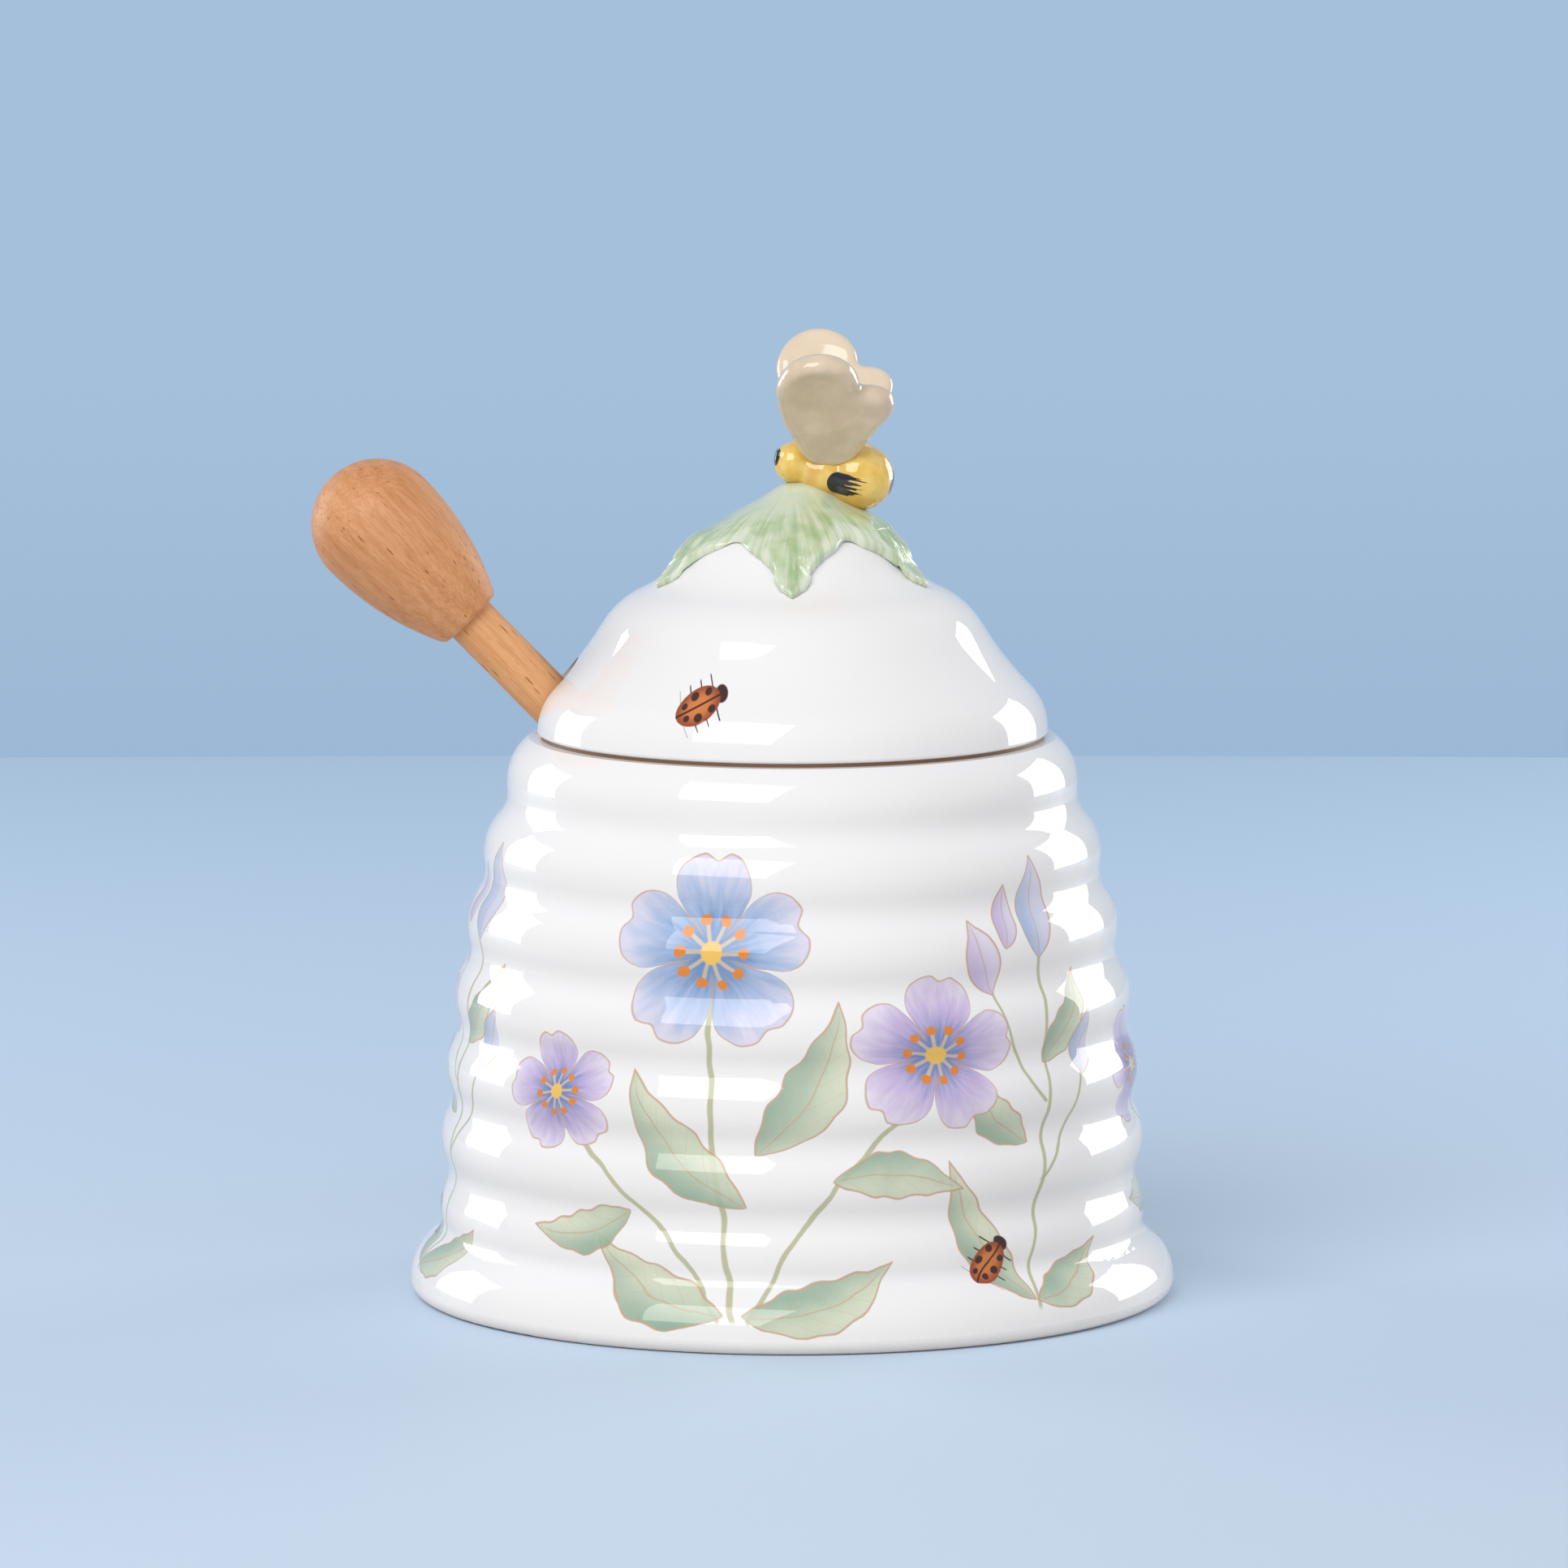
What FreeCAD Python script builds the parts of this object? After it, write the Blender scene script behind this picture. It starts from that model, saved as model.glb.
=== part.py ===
"""Honey pot: a ribbed porcelain pot, a lift-off lid with a bee on it, and a wooden dipper.

The origin is the centre of the foot on the table, +Z is up and the front is at -Y.
The dipper leans out of the pot towards -X, and the bee faces the same way.
Lengths are in millimetres and angles in degrees.
"""
import FreeCAD
import Part
import Sketcher
import math
import os

DIMENSIONS = {
    "pot_height": 88.5,
    "mouth_radius": 38.0,
    "rim_width": 3.6,
    "rim_round": 1.2,
    "rim_rise": 6.9,
    "hive_radius": 55.8,
    "hive_fullness": 0.714,
    "rib_count": 7,
    "rib_radius": 8.5,
    "valley_radius": 5.4,
    "first_rib_height": 13.8,
    "foot_flare": 4.8,
    "foot_bead_radius": 8.5,
    "foot_round": 2.2,
    "foot_valley_radius": 3.0,
    "foot_ring_width": 8.0,
    "foot_recess": 2.0,
    "pot_wall": 4.8,
    "floor_thickness": 3.5,
    "floor_corner_radius": 8.0,
    "throat_depth": 4.0,
    "throat_flare": 2.8,
    "lid_inset": 1.2,
    "lid_height": 34.0,
    "lid_lip_gap": 0.6,
    "lid_lip_round": 0.6,
    "lid_seat_inset": 0.6,
    "lid_rib_radius": 10.0,
    "lid_waist_radius": 50.0,
    "lid_shoulder_radius": 14.0,
    "lid_shoulder_sink": 1.3,
    "lid_valley_radius": 16.0,
    "crown_radius": 12.0,
    "crown_flat_radius": 7.4,
    "lid_wall": 3.6,
    "dome_inner_radius": 44.0,
    "dome_inner_rise": 2.5,
    "skirt_clearance": 0.6,
    "skirt_wall": 2.6,
    "skirt_depth": 5.0,
    "notch_clearance": 0.8,
    "notch_rise": 12.5,
    "lute_gap": 0.05,
    "leaf_count": 5,
    "leaf_thickness": 1.0,
    "leaf_reach": 22.5,
    "leaf_notch_reach": 14.5,
    "leaf_edge_radius": 13.0,
    "boss_offset": 1.0,
    "boss_length": 30.0,
    "boss_width": 26.0,
    "boss_taper": 52.0,
    "bee_offset": 6.6,
    "bee_length": 19.4,
    "bee_pitch": 12.0,
    "bee_nose_rise": 44.0,
    "bee_head_radius": 3.4,
    "bee_thorax_radius": 3.9,
    "bee_abdomen_radius": 5.3,
    "bee_thorax_place": 8.6,
    "bee_crease_radius": 5.0,
    "bee_seat_drop": 3.6,
    "wing_length": 23.3,
    "wing_thickness": 3.4,
    "wing_lean": 34.5,
    "wing_spread": 1.9,
    "wing_root_drop": 2.2,
    "wing_root_radius": 4.7,
    "fore_lobe_radius": 5.9,
    "fore_lobe_offset": 2.6,
    "hind_lobe_radius": 3.8,
    "hind_lobe_offset": 5.3,
    "hind_lobe_height": 12.4,
    "wing_notch_radius": 1.6,
    "wing_edge_round": 1.3,
    "dipper_foot_inset": 5.5,
    "dipper_length": 165.4,
    "dipper_gap": 0.3,
    "shaft_radius": 4.0,
    "shaft_chamfer": 0.5,
    "glue_gap": 0.05,
    "knob_length": 31.2,
    "knob_radius": 10.45,
    "knob_end_radius": 5.75,
    "knob_bevel": 0.5,
    "knob_socket_depth": 14.0,
    "head_length": 34.0,
    "head_radius": 11.0,
    "head_end_radius": 7.5,
    "head_disc_count": 7,
    "head_disc_thickness": 3.0,
    "head_core_radius": 6.0,
    "head_socket_depth": 22.0,
}


class Size:
    """A number together with the spreadsheet expression that gives it."""

    def __init__(self, number, text):
        self.number = number
        self.text = text

    @staticmethod
    def of(value):
        if isinstance(value, Size):
            return value
        return Size(float(value), f"({float(value):.10g})")

    def __add__(self, other):
        other = Size.of(other)
        return Size(self.number + other.number, f"({self.text} + {other.text})")

    def __sub__(self, other):
        other = Size.of(other)
        return Size(self.number - other.number, f"({self.text} - {other.text})")

    def __mul__(self, other):
        other = Size.of(other)
        return Size(self.number * other.number, f"({self.text} * {other.text})")

    def __truediv__(self, other):
        other = Size.of(other)
        return Size(self.number / other.number, f"({self.text} / {other.text})")

    def __rsub__(self, other):
        return Size.of(other) - self

    def __neg__(self):
        return Size(-self.number, f"(-{self.text})")

    __radd__ = __add__
    __rmul__ = __mul__


def root(size):
    return Size(math.sqrt(size.number), f"sqrt({size.text})")


def cosine(angle):
    angle = Size.of(angle)
    return Size(math.cos(math.radians(angle.number)), f"cos({angle.text})")


def sine(angle):
    angle = Size.of(angle)
    return Size(math.sin(math.radians(angle.number)), f"sin({angle.text})")


def arc_sine(ratio):
    return Size(math.degrees(math.asin(ratio.number)), f"(asin({ratio.text}) / (1 deg))")


def arc_tangent(ratio):
    return Size(math.degrees(math.atan(ratio.number)), f"(atan({ratio.text}) / (1 deg))")


def arc_radius_to_tangent(across, along):
    """The radius of an arc that leaves its tangent by `across` after a stretch of `along`."""
    return (across * across + along * along) / (2 * across)


ROOT_POINT = (-1, 1)
START, END, CENTRE = 1, 2, 3
ZERO_LENGTH = 1e-9


class Outline:
    """A closed outline in a sketch, drawn counter-clockwise and bound to the dimensions."""

    def __init__(self, body, name, plane, start=None):
        support = next(f for f in body.Origin.OriginFeatures if f.Role == plane)
        self.sketch = body.newObject("Sketcher::SketchObject", name)
        self.sketch.AttachmentSupport = [(support, "")]
        self.sketch.MapMode = "FlatFace"
        self.start = start
        self.here = None if start is None else (start[0].number, start[1].number)
        self.first = None
        self.last = None
        self.heading = None

    def constrain(self, kind, places, size):
        index = self.sketch.addConstraint(Sketcher.Constraint(kind, *places, size.number))
        name = f"size_{index}"
        self.sketch.renameConstraint(index, name)
        self.sketch.setExpression(f"Constraints.{name}", size.text)

    def relate(self, kind, *places):
        self.sketch.addConstraint(Sketcher.Constraint(kind, *places))

    def fix_x(self, geometry, point, size):
        if abs(size.number) < ZERO_LENGTH:
            self.relate("Vertical", geometry, point, *ROOT_POINT)
        else:
            self.constrain("DistanceX", (*ROOT_POINT, geometry, point), size)

    def fix_y(self, geometry, point, size):
        if abs(size.number) < ZERO_LENGTH:
            self.relate("Horizontal", geometry, point, *ROOT_POINT)
        else:
            self.constrain("DistanceY", (*ROOT_POINT, geometry, point), size)

    def fix(self, geometry, point, place):
        self.fix_x(geometry, point, place[0])
        self.fix_y(geometry, point, place[1])

    def append(self, shape, start, end, link="Coincident"):
        """Add an edge, joined or tangent to the one before it."""
        geometry = self.sketch.addGeometry(shape, False)
        if self.last is None:
            self.first = (geometry, start)
            if self.start is not None:
                self.fix(geometry, start, self.start)
        else:
            self.relate(link, *self.last, geometry, start)
        self.last = (geometry, end)
        return geometry

    def line(self, x, y):
        geometry = self.straight((x.number, y.number))
        self.fix(geometry, END, (x, y))

    def straight(self, there):
        """A line to a point that later edges settle."""
        here = FreeCAD.Vector(*self.here, 0)
        target = FreeCAD.Vector(*there, 0)
        geometry = self.append(Part.LineSegment(here, target), START, END)
        self.heading = (target - here).normalize()
        self.here = there
        return geometry

    def arc_shape(self, centre, radius, there, turn):
        """A circular arc from the pen to `there`, with its start and end as the sketch counts them."""
        circle = Part.Circle(FreeCAD.Vector(*centre, 0), FreeCAD.Vector(0, 0, 1), radius)
        angle_here = math.atan2(self.here[1] - centre[1], self.here[0] - centre[0])
        angle_there = math.atan2(there[1] - centre[1], there[0] - centre[0])
        self.here = there
        if turn > 0:
            self.heading = FreeCAD.Vector(-math.sin(angle_there), math.cos(angle_there), 0)
            return Part.ArcOfCircle(circle, angle_here, angle_there), START, END
        self.heading = FreeCAD.Vector(math.sin(angle_there), -math.cos(angle_there), 0)
        return Part.ArcOfCircle(circle, angle_there, angle_here), END, START

    def arc(self, x, y, radius, turn=1, closing=False):
        """A minor arc of a given radius, to a point or back to the start; turn 1 bends left, -1 right."""
        here, there = self.here, (x.number, y.number)
        dx, dy = there[0] - here[0], there[1] - here[1]
        chord = math.hypot(dx, dy)
        reach = math.sqrt(radius.number ** 2 - (chord / 2) ** 2) * turn
        middle = ((here[0] + there[0]) / 2, (here[1] + there[1]) / 2)
        centre = (middle[0] - dy / chord * reach, middle[1] + dx / chord * reach)
        shape, start, end = self.arc_shape(centre, radius.number, there, turn)
        geometry = self.append(shape, start, end)
        self.constrain("Radius", (geometry,), radius)
        if closing:
            self.relate("Coincident", geometry, end, *self.first)
        else:
            self.fix(geometry, end, (x, y))

    def tangent_arc(self, x, y):
        """An arc that carries on smoothly from the edge before it."""
        here, there = self.here, (x.number, y.number)
        normal = (-self.heading.y, self.heading.x)
        dx, dy = there[0] - here[0], there[1] - here[1]
        reach = (dx * dx + dy * dy) / (2 * (normal[0] * dx + normal[1] * dy))
        centre = (here[0] + normal[0] * reach, here[1] + normal[1] * reach)
        shape, start, end = self.arc_shape(centre, abs(reach), there, math.copysign(1, reach))
        geometry = self.append(shape, start, end, "Tangent")
        self.fix(geometry, end, (x, y))

    def scallops(self, crests, links, entry_x=None, finish=None):
        """Convex arcs about the circles `crests`, linked by hollows of given radii or by "line".

        Without entry_x the first arc starts at the pen and takes only its centre's height. With finish
        the last arc ends at that ("x" or "y", size, side); without it the arcs make a closed ring.
        """
        count = len(crests)
        spots = [(x.number, y.number) for x, y, _ in crests]
        radii = [radius.number for _, _, radius in crests]
        bridges = []
        for index, link in enumerate(links):
            after = (index + 1) % count
            bridges.append(bridge(spots[index], radii[index], spots[after], radii[after], link))
        if finish is None:
            self.here = bridges[-1][1]
        for index, (x, y, radius) in enumerate(crests):
            is_last = finish is not None and index == count - 1
            target = circle_point(spots[index], radii[index], finish) if is_last else bridges[index][0]
            shape, start, end = self.arc_shape(spots[index], radii[index], target, 1)
            geometry = self.append(shape, start, end, "Tangent" if index > 0 else "Coincident")
            if index > 0 or entry_x is not None or finish is None:
                self.fix_x(geometry, CENTRE, x)
            self.fix_y(geometry, CENTRE, y)
            self.constrain("Radius", (geometry,), radius)
            if index == 0 and entry_x is not None:
                self.fix_x(geometry, start, entry_x)
            if is_last:
                fix = self.fix_x if finish[0] == "x" else self.fix_y
                fix(geometry, end, finish[1])
                return
            self.hollow(links[index], bridges[index])
        self.relate("Tangent", *self.last, *self.first)

    def hollow(self, link, ends):
        if link == "line":
            here, there = (FreeCAD.Vector(*point, 0) for point in ends)
            self.append(Part.LineSegment(here, there), START, END, "Tangent")
            self.here = ends[1]
        else:
            shape, start, end = self.arc_shape(ends[2], link.number, ends[1], -1)
            geometry = self.append(shape, start, end, "Tangent")
            self.constrain("Radius", (geometry,), link)

    def circle(self, radius):
        """A whole circle about the sketch's origin."""
        shape = Part.Circle(FreeCAD.Vector(0, 0, 0), FreeCAD.Vector(0, 0, 1), radius.number)
        geometry = self.sketch.addGeometry(shape, False)
        self.relate("Coincident", geometry, CENTRE, *ROOT_POINT)
        self.constrain("Radius", (geometry,), radius)

    def close(self):
        here = FreeCAD.Vector(*self.here, 0)
        target = FreeCAD.Vector(self.start[0].number, self.start[1].number, 0)
        geometry = self.append(Part.LineSegment(here, target), START, END)
        self.relate("Coincident", geometry, END, *self.first)
        return self.sketch


def bridge(first, first_radius, second, second_radius, link):
    """Where the link between two circles leaves one and meets the other, on the right of the way."""
    dx, dy = second[0] - first[0], second[1] - first[1]
    apart = math.hypot(dx, dy)
    ahead = (dx / apart, dy / apart)
    right = (ahead[1], -ahead[0])

    def at(origin, forward, aside):
        return tuple(origin[i] + ahead[i] * forward + right[i] * aside for i in range(2))

    if link == "line":
        lean = (first_radius - second_radius) / apart
        aside = math.sqrt(1 - lean * lean)
        return (at(first, lean * first_radius, aside * first_radius),
                at(second, lean * second_radius, aside * second_radius))
    reach_first = first_radius + link.number
    reach_second = second_radius + link.number
    forward = (apart ** 2 + reach_first ** 2 - reach_second ** 2) / (2 * apart)
    aside = math.sqrt(reach_first ** 2 - forward ** 2)
    centre = at(first, forward, aside)
    share = first_radius / reach_first
    share_second = second_radius / reach_second
    leave = at(first, forward * share, aside * share)
    meet = at(second, (forward - apart) * share_second, aside * share_second)
    return leave, meet, centre


def circle_point(centre, radius, finish):
    """The point of a circle at a given x or y, on the side that the sign names."""
    axis, size, side = finish
    known = 0 if axis == "x" else 1
    other = centre[1 - known] + side * math.sqrt(radius ** 2 - (size.number - centre[known]) ** 2)
    return (size.number, other) if axis == "x" else (other, size.number)


doc = FreeCAD.newDocument("HoneyPot")
sheet = doc.addObject("Spreadsheet::Sheet", "Dimensions")
for row, (alias, value) in enumerate(DIMENSIONS.items(), start=1):
    sheet.set(f"A{row}", alias)
    sheet.set(f"B{row}", str(value))
    sheet.setAlias(f"B{row}", alias)
doc.recompute()


def dim(alias):
    return Size(float(sheet.get(alias)), f"Dimensions.{alias}")


def derive(alias, size):
    """Keep a worked-out number in a row of its own under the given ones."""
    row = len(DIMENSIONS) + 1
    while sheet.getContents(f"A{row}"):
        row += 1
    sheet.set(f"A{row}", alias)
    sheet.set(f"B{row}", "=" + size.text.replace("Dimensions.", ""))
    sheet.setAlias(f"B{row}", alias)
    doc.recompute()
    return dim(alias)


ZERO = Size.of(0)


def new_body(label):
    body = doc.addObject("PartDesign::Body", label)
    body.Label = label
    return body


def revolve(body, sketch, axis="V_Axis"):
    feature = body.newObject("PartDesign::Revolution", f"{body.Name}_turned")
    feature.Profile = sketch
    feature.ReferenceAxis = (sketch, [axis])
    feature.Angle = 360
    return feature


def groove(body, sketch):
    feature = body.newObject("PartDesign::Groove", f"{body.Name}_groove")
    feature.Profile = sketch
    feature.ReferenceAxis = (sketch, ["V_Axis"])
    feature.Angle = 360
    return feature


def pocket(body, sketch, upward=False, both_ways=False):
    feature = body.newObject("PartDesign::Pocket", f"{sketch.Name}_cut")
    feature.Profile = sketch
    feature.Type = "ThroughAll"
    feature.Reversed = upward
    feature.Midplane = both_ways
    return feature


def place(thing, base, pitch):
    """Put a piece at `base` with its own +Z leaning towards +X by `pitch` degrees."""
    rotation = FreeCAD.Rotation(FreeCAD.Vector(0, 1, 0), pitch.number)
    thing.Placement = FreeCAD.Placement(FreeCAD.Vector(*(size.number for size in base)), rotation)
    for axis, size in zip("xyz", base):
        thing.setExpression(f"Placement.Base.{axis}", size.text)
    thing.setExpression("Placement.Rotation.Angle", f"{pitch.text} * 1 deg")


# The pot: turned outline of the foot, seven ribs, the rim, the mouth and the hollow inside
pot_height = dim("pot_height")
mouth_radius = dim("mouth_radius")
rim_round = dim("rim_round")
rim_radius = mouth_radius + dim("rim_width")
rib_radius = dim("rib_radius")
foot_radius = dim("hive_radius") + dim("foot_flare")
foot_round = dim("foot_round")
floor_height = dim("foot_recess") + dim("floor_thickness")
floor_corner = dim("floor_corner_radius")
inner_radius = dim("hive_radius") - dim("pot_wall")


def rib_circles():
    """The circle of each rib, from the foot up, on a curve that draws in towards the rim."""
    last = int(round(dim("rib_count").number)) - 1
    first_height = dim("first_rib_height")
    top_height = pot_height - dim("rim_rise")
    top_x = rim_radius - root(rib_radius * rib_radius - dim("rim_rise") * dim("rim_rise"))
    bottom_x = dim("hive_radius") - rib_radius
    fullness = dim("hive_fullness")
    full_draw = 1 - root(1 - fullness * fullness)
    for index in range(last + 1):
        share = index / last
        draw = (1 - root(1 - fullness * fullness * (share * share))) / full_draw
        height = first_height + (top_height - first_height) * share
        yield bottom_x - (bottom_x - top_x) * draw, height, rib_radius


def make_pot():
    body = new_body("pot_body")
    ring_inner = foot_radius - foot_round - dim("foot_ring_width")
    recess = dim("foot_recess")
    outline = Outline(body, "pot_outline", "XZ_Plane", (ZERO, recess))
    outline.line(ring_inner, recess)
    outline.line(ring_inner, ZERO)
    outline.line(foot_radius - foot_round, ZERO)
    outline.arc(foot_radius, foot_round, foot_round)
    bead_radius = dim("foot_bead_radius")
    ribs = list(rib_circles())
    valleys = [dim("foot_valley_radius")] + [dim("valley_radius") for _ in ribs[1:]]
    bead = (foot_radius - bead_radius, foot_round, bead_radius)
    outline.scallops([bead, *ribs], valleys, finish=("y", pot_height, 1))
    outline.line(mouth_radius + rim_round, pot_height)
    outline.arc(mouth_radius, pot_height - rim_round, rim_round)
    throat = pot_height - dim("throat_depth")
    flare = dim("throat_flare")
    outline.line(mouth_radius, throat)
    outline.line(mouth_radius + flare, throat - flare)
    across = inner_radius - mouth_radius - flare
    along = throat - flare - floor_height - floor_corner
    outline.arc(inner_radius, floor_height + floor_corner, arc_radius_to_tangent(across, along), turn=-1)
    outline.arc(inner_radius - floor_corner, floor_height, floor_corner, turn=-1)
    outline.line(ZERO, floor_height)
    revolve(body, outline.close())
    return body


# The lid: turned dome with a soft rib, a shoulder and a flat crown, a skirt in the mouth and a notch
lid_radius = rim_radius - dim("lid_inset")
crown_height = pot_height + dim("lid_height")
lip_round = dim("lid_lip_round")
lip_height = pot_height + dim("lid_lip_gap")
skirt_radius = mouth_radius - dim("skirt_clearance")
shaft_radius = dim("shaft_radius")


def dome_circles(swell):
    """The circles of the lid's rim rib, shoulder and crown, swollen by a skin's thickness."""
    rib = dim("lid_rib_radius")
    shoulder = dim("lid_shoulder_radius")
    crown = dim("crown_radius")
    low_x, low_z = lid_radius - rib, lip_height + lip_round
    high_x, high_z = dim("crown_flat_radius"), crown_height - crown
    span_x, span_z = high_x - low_x, high_z - low_z
    span = root(span_x * span_x + span_z * span_z)
    sink = dim("lid_shoulder_sink") / span
    middle_x = (low_x + high_x) / 2 - span_z * sink
    middle_z = (low_z + high_z) / 2 + span_x * sink
    return [(low_x, low_z, rib + swell), (middle_x, middle_z, shoulder + swell), (high_x, high_z, crown + swell)]


def make_lid():
    body = new_body("lid_dome")
    skirt_inner = skirt_radius - dim("skirt_wall")
    skirt_bottom = pot_height - dim("skirt_depth")
    seat_radius = lid_radius - dim("lid_seat_inset")
    outline = Outline(body, "lid_outline", "XZ_Plane", (skirt_inner, skirt_bottom))
    outline.line(skirt_radius, skirt_bottom)
    outline.line(skirt_radius, pot_height)
    outline.line(seat_radius, pot_height)
    outline.line(seat_radius, lip_height)
    outline.arc(lid_radius, lip_height + lip_round, lip_round)
    valley = dim("lid_valley_radius")
    crown_flat = dim("crown_flat_radius")
    waist = dim("lid_waist_radius")
    outline.scallops(dome_circles(ZERO), [waist, valley], finish=("x", crown_flat, 1))
    outline.line(ZERO, crown_height)
    outline.line(ZERO, crown_height - dim("lid_wall"))
    outline.line(crown_flat, crown_height - dim("lid_wall"))
    outline.arc(skirt_inner, pot_height + dim("dome_inner_rise"), dim("dome_inner_radius"), turn=-1)
    revolve(body, outline.close())

    half_width = shaft_radius + dim("notch_clearance")
    spring = pot_height + dim("notch_rise") - half_width
    below = skirt_bottom - lip_round
    notch = Outline(body, "dipper_notch", "YZ_Plane", (-half_width, below))
    notch.line(half_width, below)
    notch.line(half_width, spring)
    notch.tangent_arc(-half_width, spring)
    pocket(body, notch.close())
    return body


# The bee's own frame: u runs from nose to tail, w stands up from its back
bee_pitch = dim("bee_pitch")
bee_nose_x = dim("bee_offset") - dim("bee_length") / 2 * cosine(bee_pitch)
bee_nose_z = pot_height + dim("bee_nose_rise")


def bee_point(u, w):
    """A point of the bee's frame as x and z of the pot's frame."""
    x = bee_nose_x + u * cosine(bee_pitch) + w * sine(bee_pitch)
    z = bee_nose_z - u * sine(bee_pitch) + w * cosine(bee_pitch)
    return x, z


# The leaf calyx: a skin over the crown cut to five leaves, which rise to a mound that carries the bee
SKIN_EDGE_ANGLE = 50
FRONT_ANGLE = 270


def dome_skin(body, name, swell, depth):
    """The outline of the lid's upper dome, swollen by `swell`, down to `depth` under the crown."""
    circles = dome_circles(swell)[1:]
    centre_x, centre_z, radius = circles[0]
    edge = centre_x + radius * cosine(SKIN_EDGE_ANGLE)
    bottom = crown_height - depth
    crown_flat = dim("crown_flat_radius")
    skin = Outline(body, name, "XZ_Plane", (ZERO, bottom))
    skin.line(edge, bottom)
    skin.straight(circle_point((centre_x.number, centre_z.number), radius.number, ("x", edge, 1)))
    valley = dim("lid_valley_radius") - swell
    skin.scallops(circles, [valley], entry_x=edge, finish=("x", crown_flat, 1))
    skin.line(ZERO, crown_height + swell)
    return skin.close()


def leaf_outline(body):
    """The space round the leaves, seen from above: a disc less five pointed leaves, one at the front."""
    count = int(round(dim("leaf_count").number))
    step = 360 / count
    reach, notch_reach = dim("leaf_reach"), dim("leaf_notch_reach")

    def polar(radius, angle):
        return radius * cosine(angle), radius * sine(angle)

    outline = Outline(body, "leaf_surround", "XY_Plane", polar(notch_reach, FRONT_ANGLE - step / 2))
    outline.circle(reach * 2)
    for index in range(count):
        tip = FRONT_ANGLE + step * index
        is_last = index == count - 1
        outline.arc(*polar(reach, tip), dim("leaf_edge_radius"))
        outline.arc(*polar(notch_reach, tip + step / 2), dim("leaf_edge_radius"), closing=is_last)
    return outline.sketch


def make_calyx():
    body = new_body("leaf_calyx")
    lute_gap = dim("lute_gap")
    thickness = dim("leaf_thickness")
    depth = dim("leaf_reach")
    revolve(body, dome_skin(body, "calyx_skin", lute_gap + thickness, depth))
    pocket(body, leaf_outline(body), upward=True)

    end_radius = dim("boss_width") / 2
    shift = dim("boss_length") / 2 - end_radius
    middle = dim("boss_offset")
    slot = Outline(body, "boss_outline", "XY_Plane")
    ends = [(middle - shift, ZERO, end_radius), (middle + shift, ZERO, end_radius)]
    slot.scallops(ends, ["line", "line"])
    slot.sketch.setExpression("AttachmentOffset.Base.z", (crown_height - thickness).text)
    boss = body.newObject("PartDesign::Pad", "bee_boss")
    boss.Profile = slot.sketch
    rise = dim("bee_nose_rise") - dim("lid_height") - dim("bee_seat_drop")
    boss.setExpression("Length", rise.text)
    boss.setExpression("TaperAngle", f"-{dim('boss_taper').text}")

    drop = -dim("bee_seat_drop")
    far = dim("bee_length")
    seat = Outline(body, "bee_seat", "XZ_Plane", bee_point(-far, drop))
    seat.line(*bee_point(far * 2, drop))
    seat.line(*bee_point(far * 2, far))
    seat.line(*bee_point(-far, far))
    pocket(body, seat.close(), both_ways=True)
    groove(body, dome_skin(body, "crown_relief", lute_gap, depth + thickness))
    return body


def make_bee():
    body = new_body("bee_body")
    head, thorax, abdomen = dim("bee_head_radius"), dim("bee_thorax_radius"), dim("bee_abdomen_radius")
    length = dim("bee_length")
    crease = dim("bee_crease_radius")
    profile = Outline(body, "bee_profile", "XZ_Plane", (length, ZERO))
    lobes = [(length - abdomen, ZERO, abdomen), (dim("bee_thorax_place"), ZERO, thorax), (head, ZERO, head)]
    profile.scallops(lobes, [crease, crease], finish=("y", ZERO, -1))
    revolve(body, profile.close(), axis="H_Axis")

    seat_height = dim("lute_gap") - dim("bee_seat_drop")
    seat = Outline(body, "bee_underside", "XZ_Plane", (-length, -length))
    seat.line(length * 2, -length)
    seat.line(length * 2, seat_height)
    seat.line(-length, seat_height)
    pocket(body, seat.close(), both_ways=True)
    place(body, (bee_nose_x, ZERO, bee_nose_z), bee_pitch)
    return body


def broad_faces(slab):
    """The names of a slab's two broad faces."""
    by_area = sorted(range(len(slab.Faces)), key=lambda index: slab.Faces[index].Area)
    return [f"Face{index + 1}" for index in by_area[-2:]]


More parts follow.
